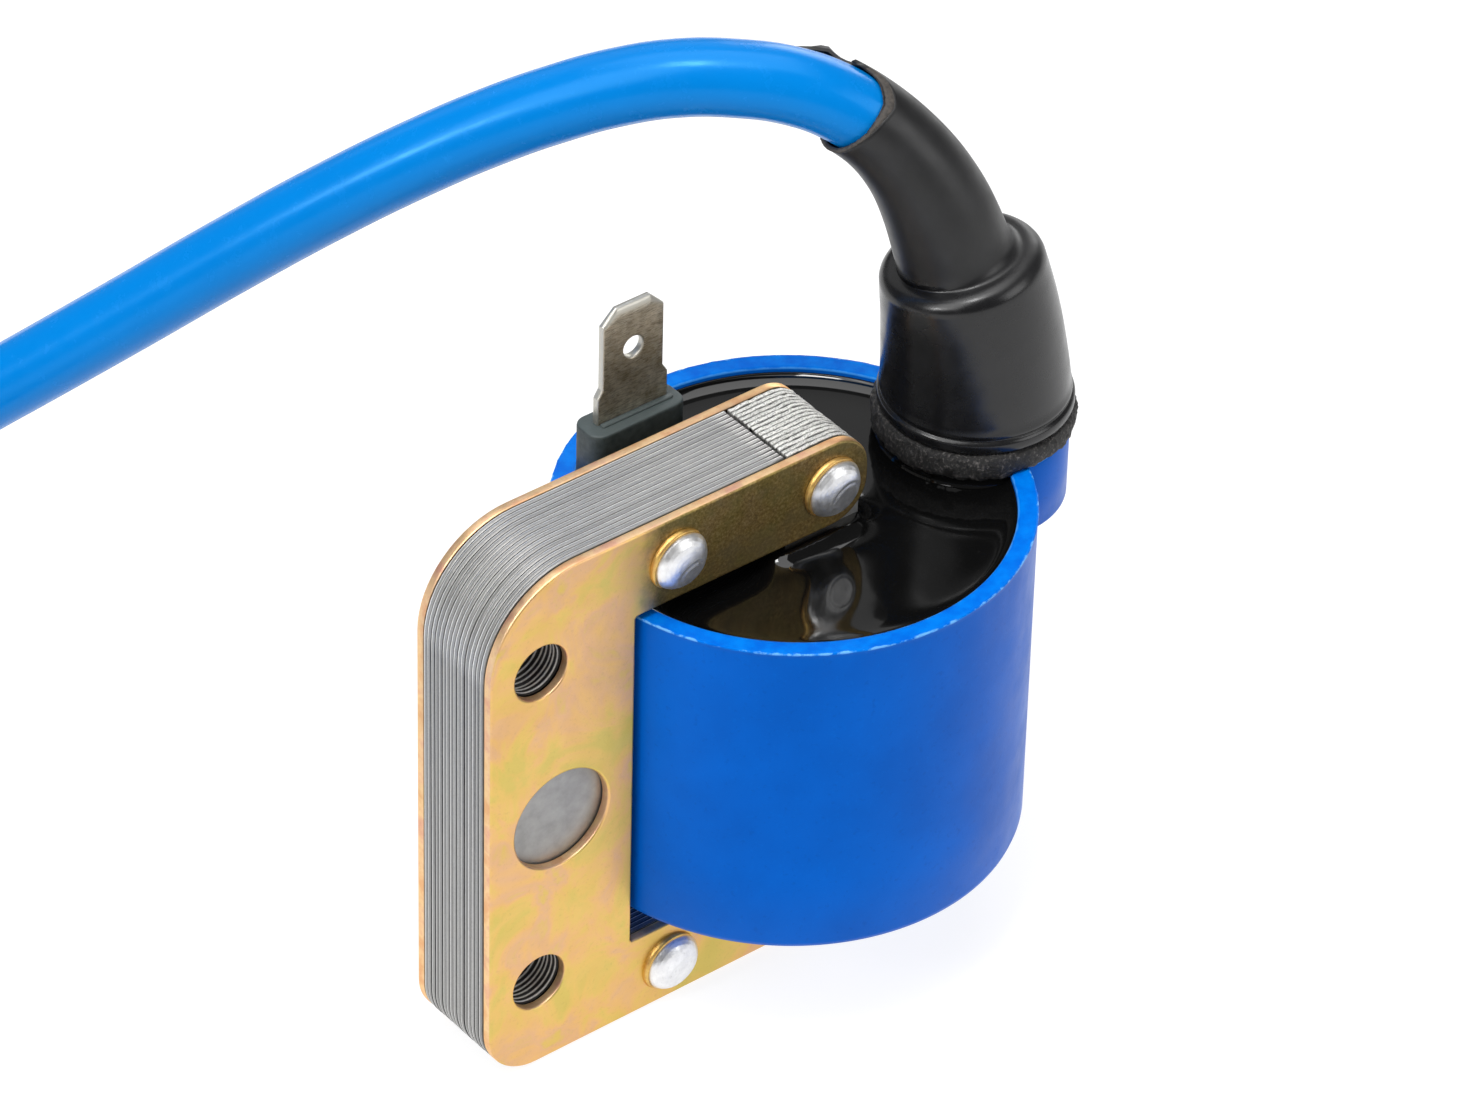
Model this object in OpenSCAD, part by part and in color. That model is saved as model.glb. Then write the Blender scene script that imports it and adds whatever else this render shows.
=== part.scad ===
// Ignition coil for a small two-stroke engine: a potted winding in a cup on a riveted laminated core.
// Millimetres, +Z up. The origin is on the floor under the middle of the coil, without its lead.
// +X runs from the yoke's upright leg towards the high-voltage lead, and Y runs through the stack.

/* [Laminated core] */
// Thickness of one lamination
lamination_t = 0.5; // [0.35:0.05:0.65]
// Number of laminations in the stack
lamination_n = 16; // [14:1:16]
// Height of the whole stack
stack_h = 51.2; // [50:0.1:56]
// From the cup's axis to the leg's outer face
leg_reach = 35.2; // [34.8:0.1:38]
// Width of the upright leg
leg_w = 14.8; // [12:0.1:14.9]
// Height of the upper arm
upper_arm_h = 8.4; // [8:0.1:8.4]
// Height of the lower arm
lower_arm_h = 8.0; // [7:0.1:8]
// How far the arm tips pass the cup's axis
tip_reach = 3.65; // [3.2:0.05:3.8]
// From the cup's axis to the joint between yoke and centre core
seam_reach = 4.4; // [4:0.1:4.6]
// Radius of the upper outer corner
upper_corner_r = 9.0; // [4:0.5:10]
// Radius of the lower outer corner
lower_corner_r = 4.9; // [4:0.1:8]
// Radius of the arm tips' corners
tip_r = 3.6; // [1:0.1:3.8]

/* [Cheek plates] */
// Thickness of each cheek plate
cheek_t = 1.0; // [0.8:0.1:1.2]
// Diameter of the opening in each cheek plate, between the mounting holes
cheek_window_d = 9.6; // [6:0.1:12]

/* [Mounting holes] */
// Diameter of each mounting hole
mount_d = 5.3; // [4.3:0.1:6.4]
// Distance between the mounting holes
mount_pitch = 33; // [28:0.5:34]
// From the leg's outer face to the mounting holes
mount_inset = 5.2; // [5:0.1:7]
// Height of the point midway between the mounting holes
mount_mid_z = 25.1; // [25:0.1:26]

/* [Rivets] */
// Diameter of a rivet's shank
rivet_d = 3.0; // [2.5:0.1:3.2]
// Diameter of a rivet's head
rivet_head_d = 5.4; // [5:0.1:6]
// Height of a rivet's head
rivet_head_h = 1.3; // [1:0.1:1.6]
// From the cup's axis back to the yoke rivets
yoke_rivet_back = 16.0; // [12:0.5:17]
// Rivets below the middle of their arms
rivet_drop = 0.3; // [0:0.1:0.5]

/* [Housing] */
// Outside diameter of the cup
cup_d = 40.5; // [39:0.1:40.6]
// Height of the cup
cup_h = 31.5; // [30:0.1:32]
// Thickness of the cup's wall
cup_wall = 1.7; // [1.4:0.1:2]
// Height of the cup's rim above the floor
rim_z = 42.2; // [42:0.1:42.6]
// Depth of the potting below the rim
potting_drop = 1.2; // [0.8:0.1:1.6]
// From the cup's axis to the axis of the high-voltage boss
boss_reach = 19.4; // [19:0.1:20]
// Outside diameter of the boss
boss_d = 16.1; // [15.5:0.1:16.5]
// Depth of the boss below the rim
boss_h = 7.3; // [6:0.1:8]
// Height of the lead socket above the rim
tower_h = 8; // [6:0.5:8]

/* [Primary terminal] */
// Width of the tab
tab_w = 6.3; // [4.8:0.1:6.3]
// Thickness of the tab
tab_t = 0.8; // [0.5:0.1:0.8]
// Height of the tab above its block
tab_h = 11.1; // [9:0.1:12]
// Length of the insulating block
block_l = 9.7; // [8:0.1:9.8]
// Thickness of the insulating block
block_t = 3.5; // [3:0.1:3.6]
// Height of the block above the rim
block_rise = 5.5; // [4:0.5:6]

/* [High-voltage lead] */
// Outside diameter of the lead
lead_d = 6.5; // [5:0.1:6.6]
// Number of turns in the stored coil of the lead
coil_turns = 1.7; // [1:0.1:1.8]
// Radius of the first turn
coil_r = 37.6; // [36:0.1:40]

/* [Hidden] */
$fn = 64;
gap = 0.05;

stack_t = lamination_t * lamination_n;
cup_r = cup_d / 2;
cavity_r = cup_r - cup_wall;
boss_r = boss_d / 2;
seal_r = 8.7;
seal_h = 2.1;
// The object is centred on the origin between the leg's outer face and the seal under the lead's cap.
cup_x = (leg_reach - boss_reach - seal_r) / 2;
boss_x = cup_x + boss_reach;
leg_x = cup_x - leg_reach;
seam_x = cup_x - seam_reach;
tip_x = cup_x + tip_reach;
core_x = (seam_x + tip_x) / 2;
core_w = tip_x - seam_x;
cup_z = rim_z - cup_h;
cup_floor = 1.8;
cavity_z = cup_z + cup_floor;
potting_z = rim_z - potting_drop;
upper_arm_z = stack_h - upper_arm_h;

// Rivets sit on the arms' centre lines, one in the yoke and one in the centre core.
yoke_rivet_x = cup_x - yoke_rivet_back;
core_rivet_x = cup_x;
upper_rivet_z = stack_h - upper_arm_h / 2 - rivet_drop;
lower_rivet_z = lower_arm_h / 2 - rivet_drop;

groove_depth = 0.4;
groove_w = 0.08;

// Windings, all inside the potting
bobbin_z = cavity_z;
primary_h = 23.5;
flange_t = 1.0;
core_fit = 0.15;
primary_tube_t = 0.8;
primary_in = core_w + 2 * core_fit;
primary_tube = primary_in + 2 * primary_tube_t;
primary_out = 15;
primary_flange = 16.4;
wrap_t = 0.3;
winding_corner_r = 2.5;
secondary_z = cavity_z + 0.5;
secondary_h = 21;
secondary_in_r = 10.4;
secondary_tube_r = 11.4;
secondary_out_r = 15;
secondary_flange_r = 16.4;
chamber_n = 5;

// The boss's floor carries the contact, and the lead's lower end stands on the contact's head.
socket_floor_z = rim_z - 4;
contact_head_h = 0.8;
contact_head_r = 2.8;
contact_pin_r = 1.0;
contact_pin_z = rim_z - 5.6;
lead_start_z = socket_floor_z + contact_head_h;
tower_r = 6.4;
bend_z = rim_z + 12.7;

// Tab and block stand in the potting behind the upper arm.
tab_x = cup_x - 7.6;
block_y = 12.35;
block_z = 37;
block_top = rim_z + block_rise;
tab_y = block_y + 0.15;
tab_tail_z = block_z;

// The lead's cap: a rounded shoulder over a slightly tapered body, with a sleeve that follows the lead
cap_z = rim_z + seal_h;
cap_lip_r = 8.3;
cap_lip_h = 1.5;
cap_foot_r = 8.0;
cap_top_r = 7.3;
cap_shoulder_r = 1.5;
cap_top_z = rim_z + 16.6;
sleeve_r = 4.2;
bend_r = 23.5;
bend_shift = 2.0;
sleeve_to = 54;

// The lead leaves the cap upwards, arches over the leg, and comes down to its coil on the floor.
// Seen from above it runs straight, turns a little to its left, and then runs along -X.
lead_heading = 141;
lead_r = lead_d / 2;
lead_sides = 10;
turn_s = 84;
turn_r = 36;
turn_length = turn_r * (180 - lead_heading) * PI / 180;
// Each pair is the distance along the floor from the boss, and the height above the rim.
lead_route = [
    [0, -3.2], [0, 1.5], [0.1, 5.5], [0.6, 9.5], [1.4, 13.5], [2.5, 17.5], [4, 21.8], [6.1, 25.8],
    [9, 29.3], [12.4, 31.8], [16.2, 33.3], [20.5, 33.9], [25.5, 33.8], [30.6, 32.7], [35.5, 30.9],
    [40.3, 28.7], [46, 25.6], [54, 20.6], [62.5, 14.7], [71, 8.5], [79.5, 2.4], [84, -0.8], [88, -3.7],
    [92, -6.5], [96, -9.4], [100, -12.2], [104, -15], [108.5, -18.2], [116, -23.6], [122, -27.9],
    [128.5, -32.5], [135, -36.2], [141.5, -38.2], [149, -38.95], [156, -38.95]
];
coil_pitch = 6.6;
coil_inner_r = coil_r - coil_pitch * coil_turns;

// Heading of the lead at a distance along the floor, and its place there
function heading_at(s) = lead_heading + (180 - lead_heading) * max(0, min(1, (s - turn_s) / turn_length));
function place_at(s) =
    let (
        start = [cos(lead_heading), sin(lead_heading)],
        centre = [boss_x, 0] + turn_s * start + turn_r * [-sin(lead_heading), cos(lead_heading)],
        h = heading_at(s)
    )
    s <= turn_s ? [boss_x, 0] + s * start
        : centre + turn_r * [sin(h), -cos(h)] - [max(0, s - turn_s - turn_length), 0];
lead_points = [for (p = lead_route) [each place_at(p[0]), rim_z + p[1]]];
lead_headings = [for (p = lead_route) heading_at(p[0])];
coil_start = place_at(lead_route[len(lead_route) - 1][0]);
coil_centre = coil_start - [0, coil_r];

function unit(v) = v / norm(v);
function last(list) = len(list) - 1;
// Direction of a route at one of its points
function along(points, i) = unit(points[min(i + 1, last(points))] - points[max(i - 1, 0)]);
// A ring of corners round a route point, square to the route
function ring(points, headings, i, r, sides) =
    let (
        side = [-sin(headings[i]), cos(headings[i]), 0],
        up = cross(along(points, i), side)
    )
    [for (k = [0:sides - 1]) points[i] + r * (cos(360 * k / sides) * side + sin(360 * k / sides) * up)];

// A round tube solid swept along a route
module swept_tube(points, headings, r, sides) {
    count = len(points);
    corners = [for (i = [0:count - 1]) each ring(points, headings, i, r, sides)];
    walls = [
        for (i = [0:count - 2])
        for (k = [0:sides - 1])
        let (m = (k + 1) % sides)
        [i * sides + k, (i + 1) * sides + k, (i + 1) * sides + m, i * sides + m]
    ];
    first_cap = [for (k = [0:sides - 1]) k];
    last_cap = [for (k = [sides - 1:-1:0]) (count - 1) * sides + k];
    polyhedron(points = corners, faces = concat(walls, [first_cap, last_cap]), convexity = 6);
}

// A rectangle with round corners, centred
module rounded_rect(w, h, r) {
    square([w - 2 * r, h], center = true);
    square([w, h - 2 * r], center = true);
    for (sx = [-1, 1])
        for (sy = [-1, 1])
            translate([sx * (w / 2 - r), sy * (h / 2 - r)])
                circle(r);
}

// A box from one corner to the other with round corners of the given radii: low x low z, low x high z, and
// the two on the high x side. A radius of 0 leaves a sharp corner.
module corner_box(x0, z0, x1, z1, low_r, high_r, tip_low_r, tip_high_r) {
    difference() {
        translate([x0, z0])
            square([x1 - x0, z1 - z0]);
        corner_cut(x0, z0, low_r, 1, 1);
        corner_cut(x0, z1, high_r, 1, -1);
        corner_cut(x1, z0, tip_low_r, -1, 1);
        corner_cut(x1, z1, tip_high_r, -1, -1);
    }
}

// What a round corner takes off a square one
module corner_cut(x, z, r, sx, sz) {
    if (r > 0)
        difference() {
            translate([x - (sx < 0 ? r : 1), z - (sz < 0 ? r : 1)])
                square(r + 1);
            translate([x + sx * r, z + sz * r])
                circle(r);
        }
}

// The window between the two arms, open on the side of the arm tips
module arm_window(inset, x_end) {
    translate([leg_x + leg_w - inset, lower_arm_h - inset])
        square([x_end - leg_x - leg_w + inset, upper_arm_z - lower_arm_h + 2 * inset]);
}

// Outline of the C-shaped yoke in X and Z, drawn smaller all round by inset
module yoke_outline(inset) {
    difference() {
        corner_box(leg_x + inset, inset, seam_x - inset, stack_h - inset,
            lower_corner_r - inset, upper_corner_r - inset, 0, 0);
        arm_window(inset, seam_x + 1);
    }
}

// Outline of the straight centre core in X and Z, drawn smaller all round by inset
module core_outline(inset) {
    corner_box(seam_x + inset, inset, tip_x - inset, stack_h - inset, 0, 0, tip_r - inset, tip_r - inset);
}

// Outline of a cheek plate in X and Z: the yoke's C with arms that reach over the centre core's ends
module cheek_outline() {
    difference() {
        corner_box(leg_x, 0, tip_x, stack_h, lower_corner_r, upper_corner_r, 0, 0);
        arm_window(0, tip_x + 1);
        corner_cut(tip_x, 0, tip_r, -1, 1);
        corner_cut(tip_x, lower_arm_h, tip_r, -1, -1);
        corner_cut(tip_x, upper_arm_z, tip_r, -1, 1);
        corner_cut(tip_x, stack_h, tip_r, -1, -1);
    }
}

// Stands a drawing made in X and Z up in the stack, from y0 for a thickness t
module through_stack(y0, t) {
    translate([0, y0 + t, 0])
        rotate([90, 0, 0])
            linear_extrude(t)
                children();
}

// A straight hole or shank through the stack, along Y
module stack_rod(x, z, d, length) {
    translate([x, length / 2, z])
        rotate([90, 0, 0])
            cylinder(d = d, h = length);
}

module mount_holes() {
    for (s = [-1, 1])
        stack_rod(leg_x + mount_inset, mount_mid_z + s * mount_pitch / 2, mount_d, stack_t + 4);
}

module rivet_holes() {
    for (x = [yoke_rivet_x, core_rivet_x])
        for (z = [lower_rivet_z, upper_rivet_z])
            stack_rod(x, z, rivet_d + 2 * gap, stack_t + 4);
}

// Joint lines between laminations, as shallow grooves round the edge of a pack
module lamination_pack() {
    for (i = [0:lamination_n - 1])
        through_stack(-stack_t / 2 + i * lamination_t + (i > 0 ? groove_w / 2 : 0),
            lamination_t - (i > 0 ? groove_w / 2 : 0) - (i < lamination_n - 1 ? groove_w / 2 : 0))
            children(0);
    through_stack(-stack_t / 2 + lamination_t / 2, stack_t - lamination_t)
        children(1);
}

module yoke_lamination_pack() {
    color("darkgray")
        difference() {
            lamination_pack() {
                yoke_outline(0);
                yoke_outline(groove_depth);
            }
            mount_holes();
            rivet_holes();
        }
}

module core_lamination_pack() {
    color("silver")
        difference() {
            lamination_pack() {
                core_outline(0.01);
                core_outline(groove_depth);
            }
            rivet_holes();
        }
}

module cheek_plate(y0) {
    color("darkkhaki")
        difference() {
            through_stack(y0, cheek_t)
                cheek_outline();
            mount_holes();
            rivet_holes();
            stack_rod(leg_x + leg_w / 2, mount_mid_z + 0.1, cheek_window_d, stack_t + 4);
        }
}

module front_cheek_plate() {
    cheek_plate(-stack_t / 2 - cheek_t);
}

module rear_cheek_plate() {
    cheek_plate(stack_t / 2);
}

// A rivet along Y with a low domed head at each end
module rivet(x, z) {
    grip = stack_t + 2 * cheek_t;
    dome_r = (pow(rivet_head_d / 2, 2) + pow(rivet_head_h, 2)) / (2 * rivet_head_h);
    color("gainsboro") {
        stack_rod(x, z, rivet_d, grip);
        for (side = [0, 180])
            translate([x, 0, z])
                rotate([90, 0, side])
                    intersection() {
                        translate([0, 0, grip / 2 + rivet_head_h - dome_r])
                            sphere(dome_r);
                        translate([0, 0, grip / 2])
                            cylinder(d = rivet_head_d, h = rivet_head_h + 1);
                    }
    }
}

module upper_yoke_rivet() {
    rivet(yoke_rivet_x, upper_rivet_z);
}

module upper_core_rivet() {
    rivet(core_rivet_x, upper_rivet_z);
}

module lower_yoke_rivet() {
    rivet(yoke_rivet_x, lower_rivet_z);
}

module lower_core_rivet() {
    rivet(core_rivet_x, lower_rivet_z);
}

// The cup with its boss and lead socket, and a short neck that stands on the lower arm round the core
module housing() {
    neck = 12;
    color("royalblue")
        difference() {
            union() {
                difference() {
                    translate([cup_x, 0, cup_z])
                        cylinder(r = cup_r, h = cup_h);
                    translate([cup_x, 0, cavity_z])
                        cylinder(r = cavity_r, h = cup_h);
                }
                difference() {
                    translate([boss_x, 0, rim_z - boss_h])
                        cylinder(r = boss_r, h = boss_h);
                    translate([cup_x, 0, potting_z - 0.3])
                        cylinder(r = cavity_r, h = cup_h);
                }
                translate([boss_x, 0, rim_z - boss_h + 1])
                    cylinder(r = tower_r, h = boss_h + tower_h - 1);
                translate([core_x - neck / 2, -neck / 2, lower_arm_h])
                    cube([neck, neck, cup_z - lower_arm_h + 0.5]);
            }
            translate([core_x - core_w / 2 - core_fit, -stack_t / 2 - core_fit, 0])
                cube([core_w + 2 * core_fit, stack_t + 2 * core_fit, cavity_z + 1]);
            translate([boss_x, 0, socket_floor_z])
                cylinder(r = lead_r + 0.1, h = tower_h + boss_h);
            translate([boss_x, 0, contact_pin_z])
                cylinder(r = contact_pin_r, h = boss_h);
            secondary_wire_path();
        }
}

// Outer shape of the primary bobbin, its winding and the wrap round it
module primary_envelope() {
    translate([core_x, 0, bobbin_z])
        linear_extrude(primary_h)
            rounded_rect(primary_out + 2 * wrap_t, primary_out + 2 * wrap_t, winding_corner_r + wrap_t);
    for (z = [bobbin_z, bobbin_z + primary_h - flange_t])
        translate([core_x, 0, z])
            linear_extrude(flange_t)
                rounded_rect(primary_flange, primary_flange, winding_corner_r + wrap_t);
}

module core_passage(z, h) {
    translate([core_x - primary_in / 2, -primary_in / 2, z])
        cube([primary_in, primary_in, h]);
}

module primary_bobbin() {
    color("ivory")
        difference() {
            union() {
                translate([core_x - primary_tube / 2, -primary_tube / 2, bobbin_z])
                    cube([primary_tube, primary_tube, primary_h]);
                for (z = [bobbin_z, bobbin_z + primary_h - flange_t])
                    translate([core_x, 0, z])
                        linear_extrude(flange_t)
                            rounded_rect(primary_flange, primary_flange, winding_corner_r + wrap_t);
            }
            core_passage(bobbin_z - 1, primary_h + 2);
            primary_wire_path();
            ground_wire_path();
        }
}

module primary_winding() {
    color("peru")
        translate([core_x, 0, bobbin_z + flange_t])
            linear_extrude(primary_h - 2 * flange_t)
                difference() {
                    rounded_rect(primary_out, primary_out, winding_corner_r);
                    square(primary_tube, center = true);
                }
}

module winding_insulation() {
    color("wheat")
        translate([core_x, 0, bobbin_z + flange_t])
            linear_extrude(primary_h - 2 * flange_t)
                difference() {
                    rounded_rect(primary_out + 2 * wrap_t, primary_out + 2 * wrap_t, winding_corner_r + wrap_t);
                    rounded_rect(primary_out, primary_out, winding_corner_r);
                }
}

// The secondary bobbin's flanges leave equal chambers between them.
chamber_pitch = (secondary_h - flange_t) / chamber_n;

module secondary_flanges() {
    for (i = [0:chamber_n])
        translate([core_x, 0, secondary_z + i * chamber_pitch])
            cylinder(r = secondary_flange_r, h = flange_t);
}

module secondary_envelope() {
    translate([core_x, 0, secondary_z])
        cylinder(r = secondary_out_r, h = secondary_h);
    secondary_flanges();
}

module secondary_bobbin() {
    color("ivory")
        difference() {
            union() {
                translate([core_x, 0, secondary_z])
                    cylinder(r = secondary_tube_r, h = secondary_h);
                secondary_flanges();
            }
            translate([core_x, 0, secondary_z - 1])
                cylinder(r = secondary_in_r, h = secondary_h + 2);
            secondary_wire_path();
        }
}

module secondary_winding() {
    color("sienna")
        for (i = [0:chamber_n - 1])
            translate([core_x, 0, secondary_z + flange_t + i * chamber_pitch])
                difference() {
                    cylinder(r = secondary_out_r, h = chamber_pitch - flange_t);
                    translate([0, 0, -1])
                        cylinder(r = secondary_tube_r, h = chamber_pitch + 2);
                }
}

// A wire of straight runs with round corners
module wire(points, r) {
    for (i = [0:len(points) - 2]) {
        run = points[i + 1] - points[i];
        translate(points[i])
            rotate([0, acos(run[2] / norm(run)), atan2(run[1], run[0])])
                cylinder(r = r, h = norm(run));
        if (i > 0)
            translate(points[i])
                sphere(r);
    }
}

// From the winding's top, through the flange, over to the foot of the terminal
module primary_wire_path() {
    top = bobbin_z + primary_h - flange_t;
    wire([[tab_x + 1, 6, top], [tab_x + 1, 6, top + 1.8], [tab_x + 1, tab_y, top + 1.8],
        [tab_x + 1, tab_y, tab_tail_z]], 0.4);
}

// From the winding's top, through the flange, to the side of the centre core
module ground_wire_path() {
    top = bobbin_z + primary_h - flange_t;
    wire([[core_x + 6.4, 0, top], [core_x + 6.4, 0, top + 2.2], [tip_x, 0, top + 2.2]], 0.4);
}

// From the top chamber of the secondary, through its flange, to the contact in the boss
module secondary_wire_path() {
    top = secondary_z + secondary_h - flange_t;
    wire([[core_x + 13.2, 0, top], [core_x + 13.2, 0, contact_pin_z + 0.6],
        [boss_x - contact_pin_r, 0, contact_pin_z + 0.6]], 0.3);
}

module primary_lead_wire() {
    color("orangered")
        primary_wire_path();
}

module ground_wire() {
    color("orangered")
        ground_wire_path();
}

module secondary_lead_wire() {
    color("orangered")
        secondary_wire_path();
}

// Fills the cup up to just under the rim, round everything in it
module potting_compound() {
    color("black")
        difference() {
            translate([cup_x, 0, cavity_z])
                cylinder(r = cavity_r, h = potting_z - cavity_z);
            translate([seam_x, -stack_t / 2, cavity_z - 1])
                cube([core_w, stack_t, cup_h]);
            core_passage(cavity_z - 1, primary_h + 1);
            primary_envelope();
            difference() {
                secondary_envelope();
                translate([core_x, 0, secondary_z - 1])
                    cylinder(r = secondary_in_r, h = secondary_h + 2);
            }
            translate([boss_x, 0, rim_z - boss_h])
                cylinder(r = boss_r, h = boss_h - potting_drop - 0.3);
            translate([boss_x, 0, rim_z - boss_h + 1])
                cylinder(r = tower_r, h = boss_h);
            terminal_block_body();
            primary_wire_path();
            ground_wire_path();
            secondary_wire_path();
        }
}

module terminal_block_body() {
    translate([tab_x - 0.1, block_y, block_z])
        linear_extrude(block_top - block_z)
            rounded_rect(block_l, block_t, 1.2);
}

// The tab narrows above a shoulder that is as wide as the slot in the block.
module tab_outline() {
    shoulder_w = tab_w + 1;
    shoulder_z = block_top + 2.6;
    top = block_top + tab_h;
    chamfer = 1.4;
    polygon([
        [-shoulder_w / 2, tab_tail_z], [shoulder_w / 2, tab_tail_z],
        [shoulder_w / 2, shoulder_z], [tab_w / 2, shoulder_z + 0.8],
        [tab_w / 2, top - chamfer], [tab_w / 2 - chamfer, top],
        [chamfer - tab_w / 2, top], [-tab_w / 2, top - chamfer],
        [-tab_w / 2, shoulder_z + 0.8], [-shoulder_w / 2, shoulder_z]
    ]);
}

module tab_sheet() {
    translate([tab_x, tab_y + tab_t / 2, 0])
        rotate([90, 0, 0])
            linear_extrude(tab_t)
                tab_outline();
}

module primary_terminal() {
    hole_d = 2.0;
    hole_drop = 4.5;
    color("lightgray")
        difference() {
            tab_sheet();
            translate([tab_x, tab_y + 2, block_top + tab_h - hole_drop])
                rotate([90, 0, 0])
                    cylinder(d = hole_d, h = 4);
        }
}

module terminal_block() {
    color("darkslategray")
        difference() {
            terminal_block_body();
            tab_sheet();
        }
}

module hv_contact() {
    color("gold") {
        translate([boss_x, 0, contact_pin_z])
            cylinder(r = contact_pin_r, h = socket_floor_z - contact_pin_z + 0.1);
        translate([boss_x, 0, socket_floor_z])
            cylinder(r = contact_head_r, h = contact_head_h);
    }
}

// A bead of sealing compound between the boss and the cap
module cap_seal() {
    color("dimgray")
        translate([boss_x, 0, rim_z])
            difference() {
                union() {
                    cylinder(r = seal_r - 0.4, h = seal_h);
                    translate([0, 0, 0.4])
                        cylinder(r = seal_r, h = seal_h - 0.8);
                }
                translate([0, 0, -1])
                    cylinder(r = tower_r, h = seal_h + 2);
            }
}

// An arc of round tube that starts upright beside the boss's axis and bends towards the lead's heading
module bend_arc(r, from, to) {
    translate([boss_x, 0, bend_z])
        rotate([0, 0, lead_heading])
            translate([bend_r + bend_shift, 0, 0])
                rotate([90, 0, 180])
                    rotate([0, 0, from])
                        rotate_extrude(angle = to - from)
                            translate([bend_r, 0])
                                circle(r);
}

module cap_body() {
    shoulder_z = cap_top_z - cap_shoulder_r;
    rotate_extrude() {
        polygon([
            [0, 0], [cap_lip_r, 0], [cap_lip_r, cap_lip_h], [cap_foot_r, cap_lip_h + 0.2],
            [cap_top_r, shoulder_z - cap_z], [cap_top_r - cap_shoulder_r, cap_top_z - cap_z],
            [0, cap_top_z - cap_z]
        ]);
        translate([cap_top_r - cap_shoulder_r, shoulder_z - cap_z])
            circle(cap_shoulder_r);
    }
}

// The rubber cap over the lead socket, with the sleeve that grips the lead
module hv_lead_cap() {
    color([0.13, 0.13, 0.14])
        difference() {
            union() {
                translate([boss_x, 0, cap_z])
                    cap_body();
                bend_arc(sleeve_r, 4, sleeve_to);
            }
            translate([boss_x, 0, cap_z - 1])
                cylinder(r = tower_r + gap, h = rim_z + tower_h - cap_z + 1);
            translate([boss_x, 0, rim_z])
                cylinder(r = lead_r, h = bend_z - rim_z + 0.01);
            bend_arc(lead_r, 0, sleeve_to + 1);
        }
}

module hv_lead() {
    color("dodgerblue")
        swept_tube(lead_points, lead_headings, lead_r, lead_sides);
}

// The stored length of the lead, as one ring with the outside shape of its turns
module hv_lead_coil() {
    color("dodgerblue")
        translate([coil_centre[0], coil_centre[1], 0])
            rotate_extrude()
                translate([coil_inner_r - lead_r, 0])
                    square([coil_r - coil_inner_r + lead_d, lead_d]);
}

// The stranded copper that shows at the lead's bare end, inside the coil of it
module hv_lead_conductor() {
    conductor_r = 1.1;
    conductor_l = 2;
    end_turn = 90 + 360 * coil_turns;
    color("peru")
        translate([coil_centre[0], coil_centre[1], lead_r])
            rotate([0, 0, end_turn])
                translate([coil_inner_r - lead_r - conductor_r, 0, 0])
                    rotate([-90, 0, 0])
                        cylinder(r = conductor_r, h = conductor_l);
}

housing();
potting_compound();
yoke_lamination_pack();
core_lamination_pack();
front_cheek_plate();
rear_cheek_plate();
upper_yoke_rivet();
upper_core_rivet();
lower_yoke_rivet();
lower_core_rivet();
primary_bobbin();
primary_winding();
winding_insulation();
secondary_bobbin();
secondary_winding();
terminal_block();
primary_terminal();
primary_lead_wire();
ground_wire();
secondary_lead_wire();
hv_contact();
cap_seal();
hv_lead_cap();
hv_lead();
hv_lead_coil();
hv_lead_conductor();
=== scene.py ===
import math
import random

import bmesh
import bpy
from mathutils import Matrix, Vector, noise
from mathutils.geometry import tessellate_polygon


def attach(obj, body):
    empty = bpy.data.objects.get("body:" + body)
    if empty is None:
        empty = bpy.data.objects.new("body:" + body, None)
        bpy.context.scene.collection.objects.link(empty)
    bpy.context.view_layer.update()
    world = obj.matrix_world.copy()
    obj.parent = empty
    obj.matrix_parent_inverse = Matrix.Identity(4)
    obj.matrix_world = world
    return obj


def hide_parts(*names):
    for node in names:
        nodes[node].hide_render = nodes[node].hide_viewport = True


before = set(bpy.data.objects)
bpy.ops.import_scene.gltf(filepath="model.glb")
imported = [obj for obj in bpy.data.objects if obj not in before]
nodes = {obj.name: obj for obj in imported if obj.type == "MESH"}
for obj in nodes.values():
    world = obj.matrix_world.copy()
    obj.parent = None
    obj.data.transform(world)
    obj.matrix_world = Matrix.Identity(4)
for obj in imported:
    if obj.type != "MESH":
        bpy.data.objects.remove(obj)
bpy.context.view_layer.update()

# Sizes in millimetres, as in the CAD source
LAM_T = 0.5
LAM_N = 16
STACK_T = LAM_T * LAM_N
STACK_H = 51.2
LEG_X = -31.65
LEG_W = 14.8
LEG_IN = LEG_X + LEG_W
ARM_TOP = 42.8
ARM_LOW = 8.0
SEAM_X = -0.85
TIP_X = 7.2
CHEEK_T = 1.0
MOUNT_X = -26.45
MOUNT_Z = (8.6, 41.6)
MOUNT_R = 2.65
WINDOW = (-24.25, 25.2, 4.8)
RIVETS = {
    "upper_yoke_rivet": (-12.45, 46.7),
    "upper_core_rivet": (3.55, 46.7),
    "lower_yoke_rivet": (-12.45, 3.7),
    "lower_core_rivet": (3.55, 3.7),
}
CUP_X = 3.55
CUP_R = 20.25
CAVITY_R = 18.55
CUP_Z = 10.7
RIM_Z = 42.2
POT_Z = 41.0
BOSS_X = 22.95
BOSS_R = 8.05
TAB_X = -4.05
TAB_Y = 12.5
TAB_W = 6.3
TAB_T = 0.8
BLOCK_X = TAB_X - 0.1
BLOCK_Y = 12.35
BLOCK_L = 9.7
BLOCK_T = 3.5
BLOCK_TOP = 47.7
TAB_H = 11.1
LEAD_R = 3.25
HEADING = math.radians(141)
TAU = 2 * math.pi


# ---------------- shaping

def lerp(a, b, t):
    return a + (b - a) * t


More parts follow.
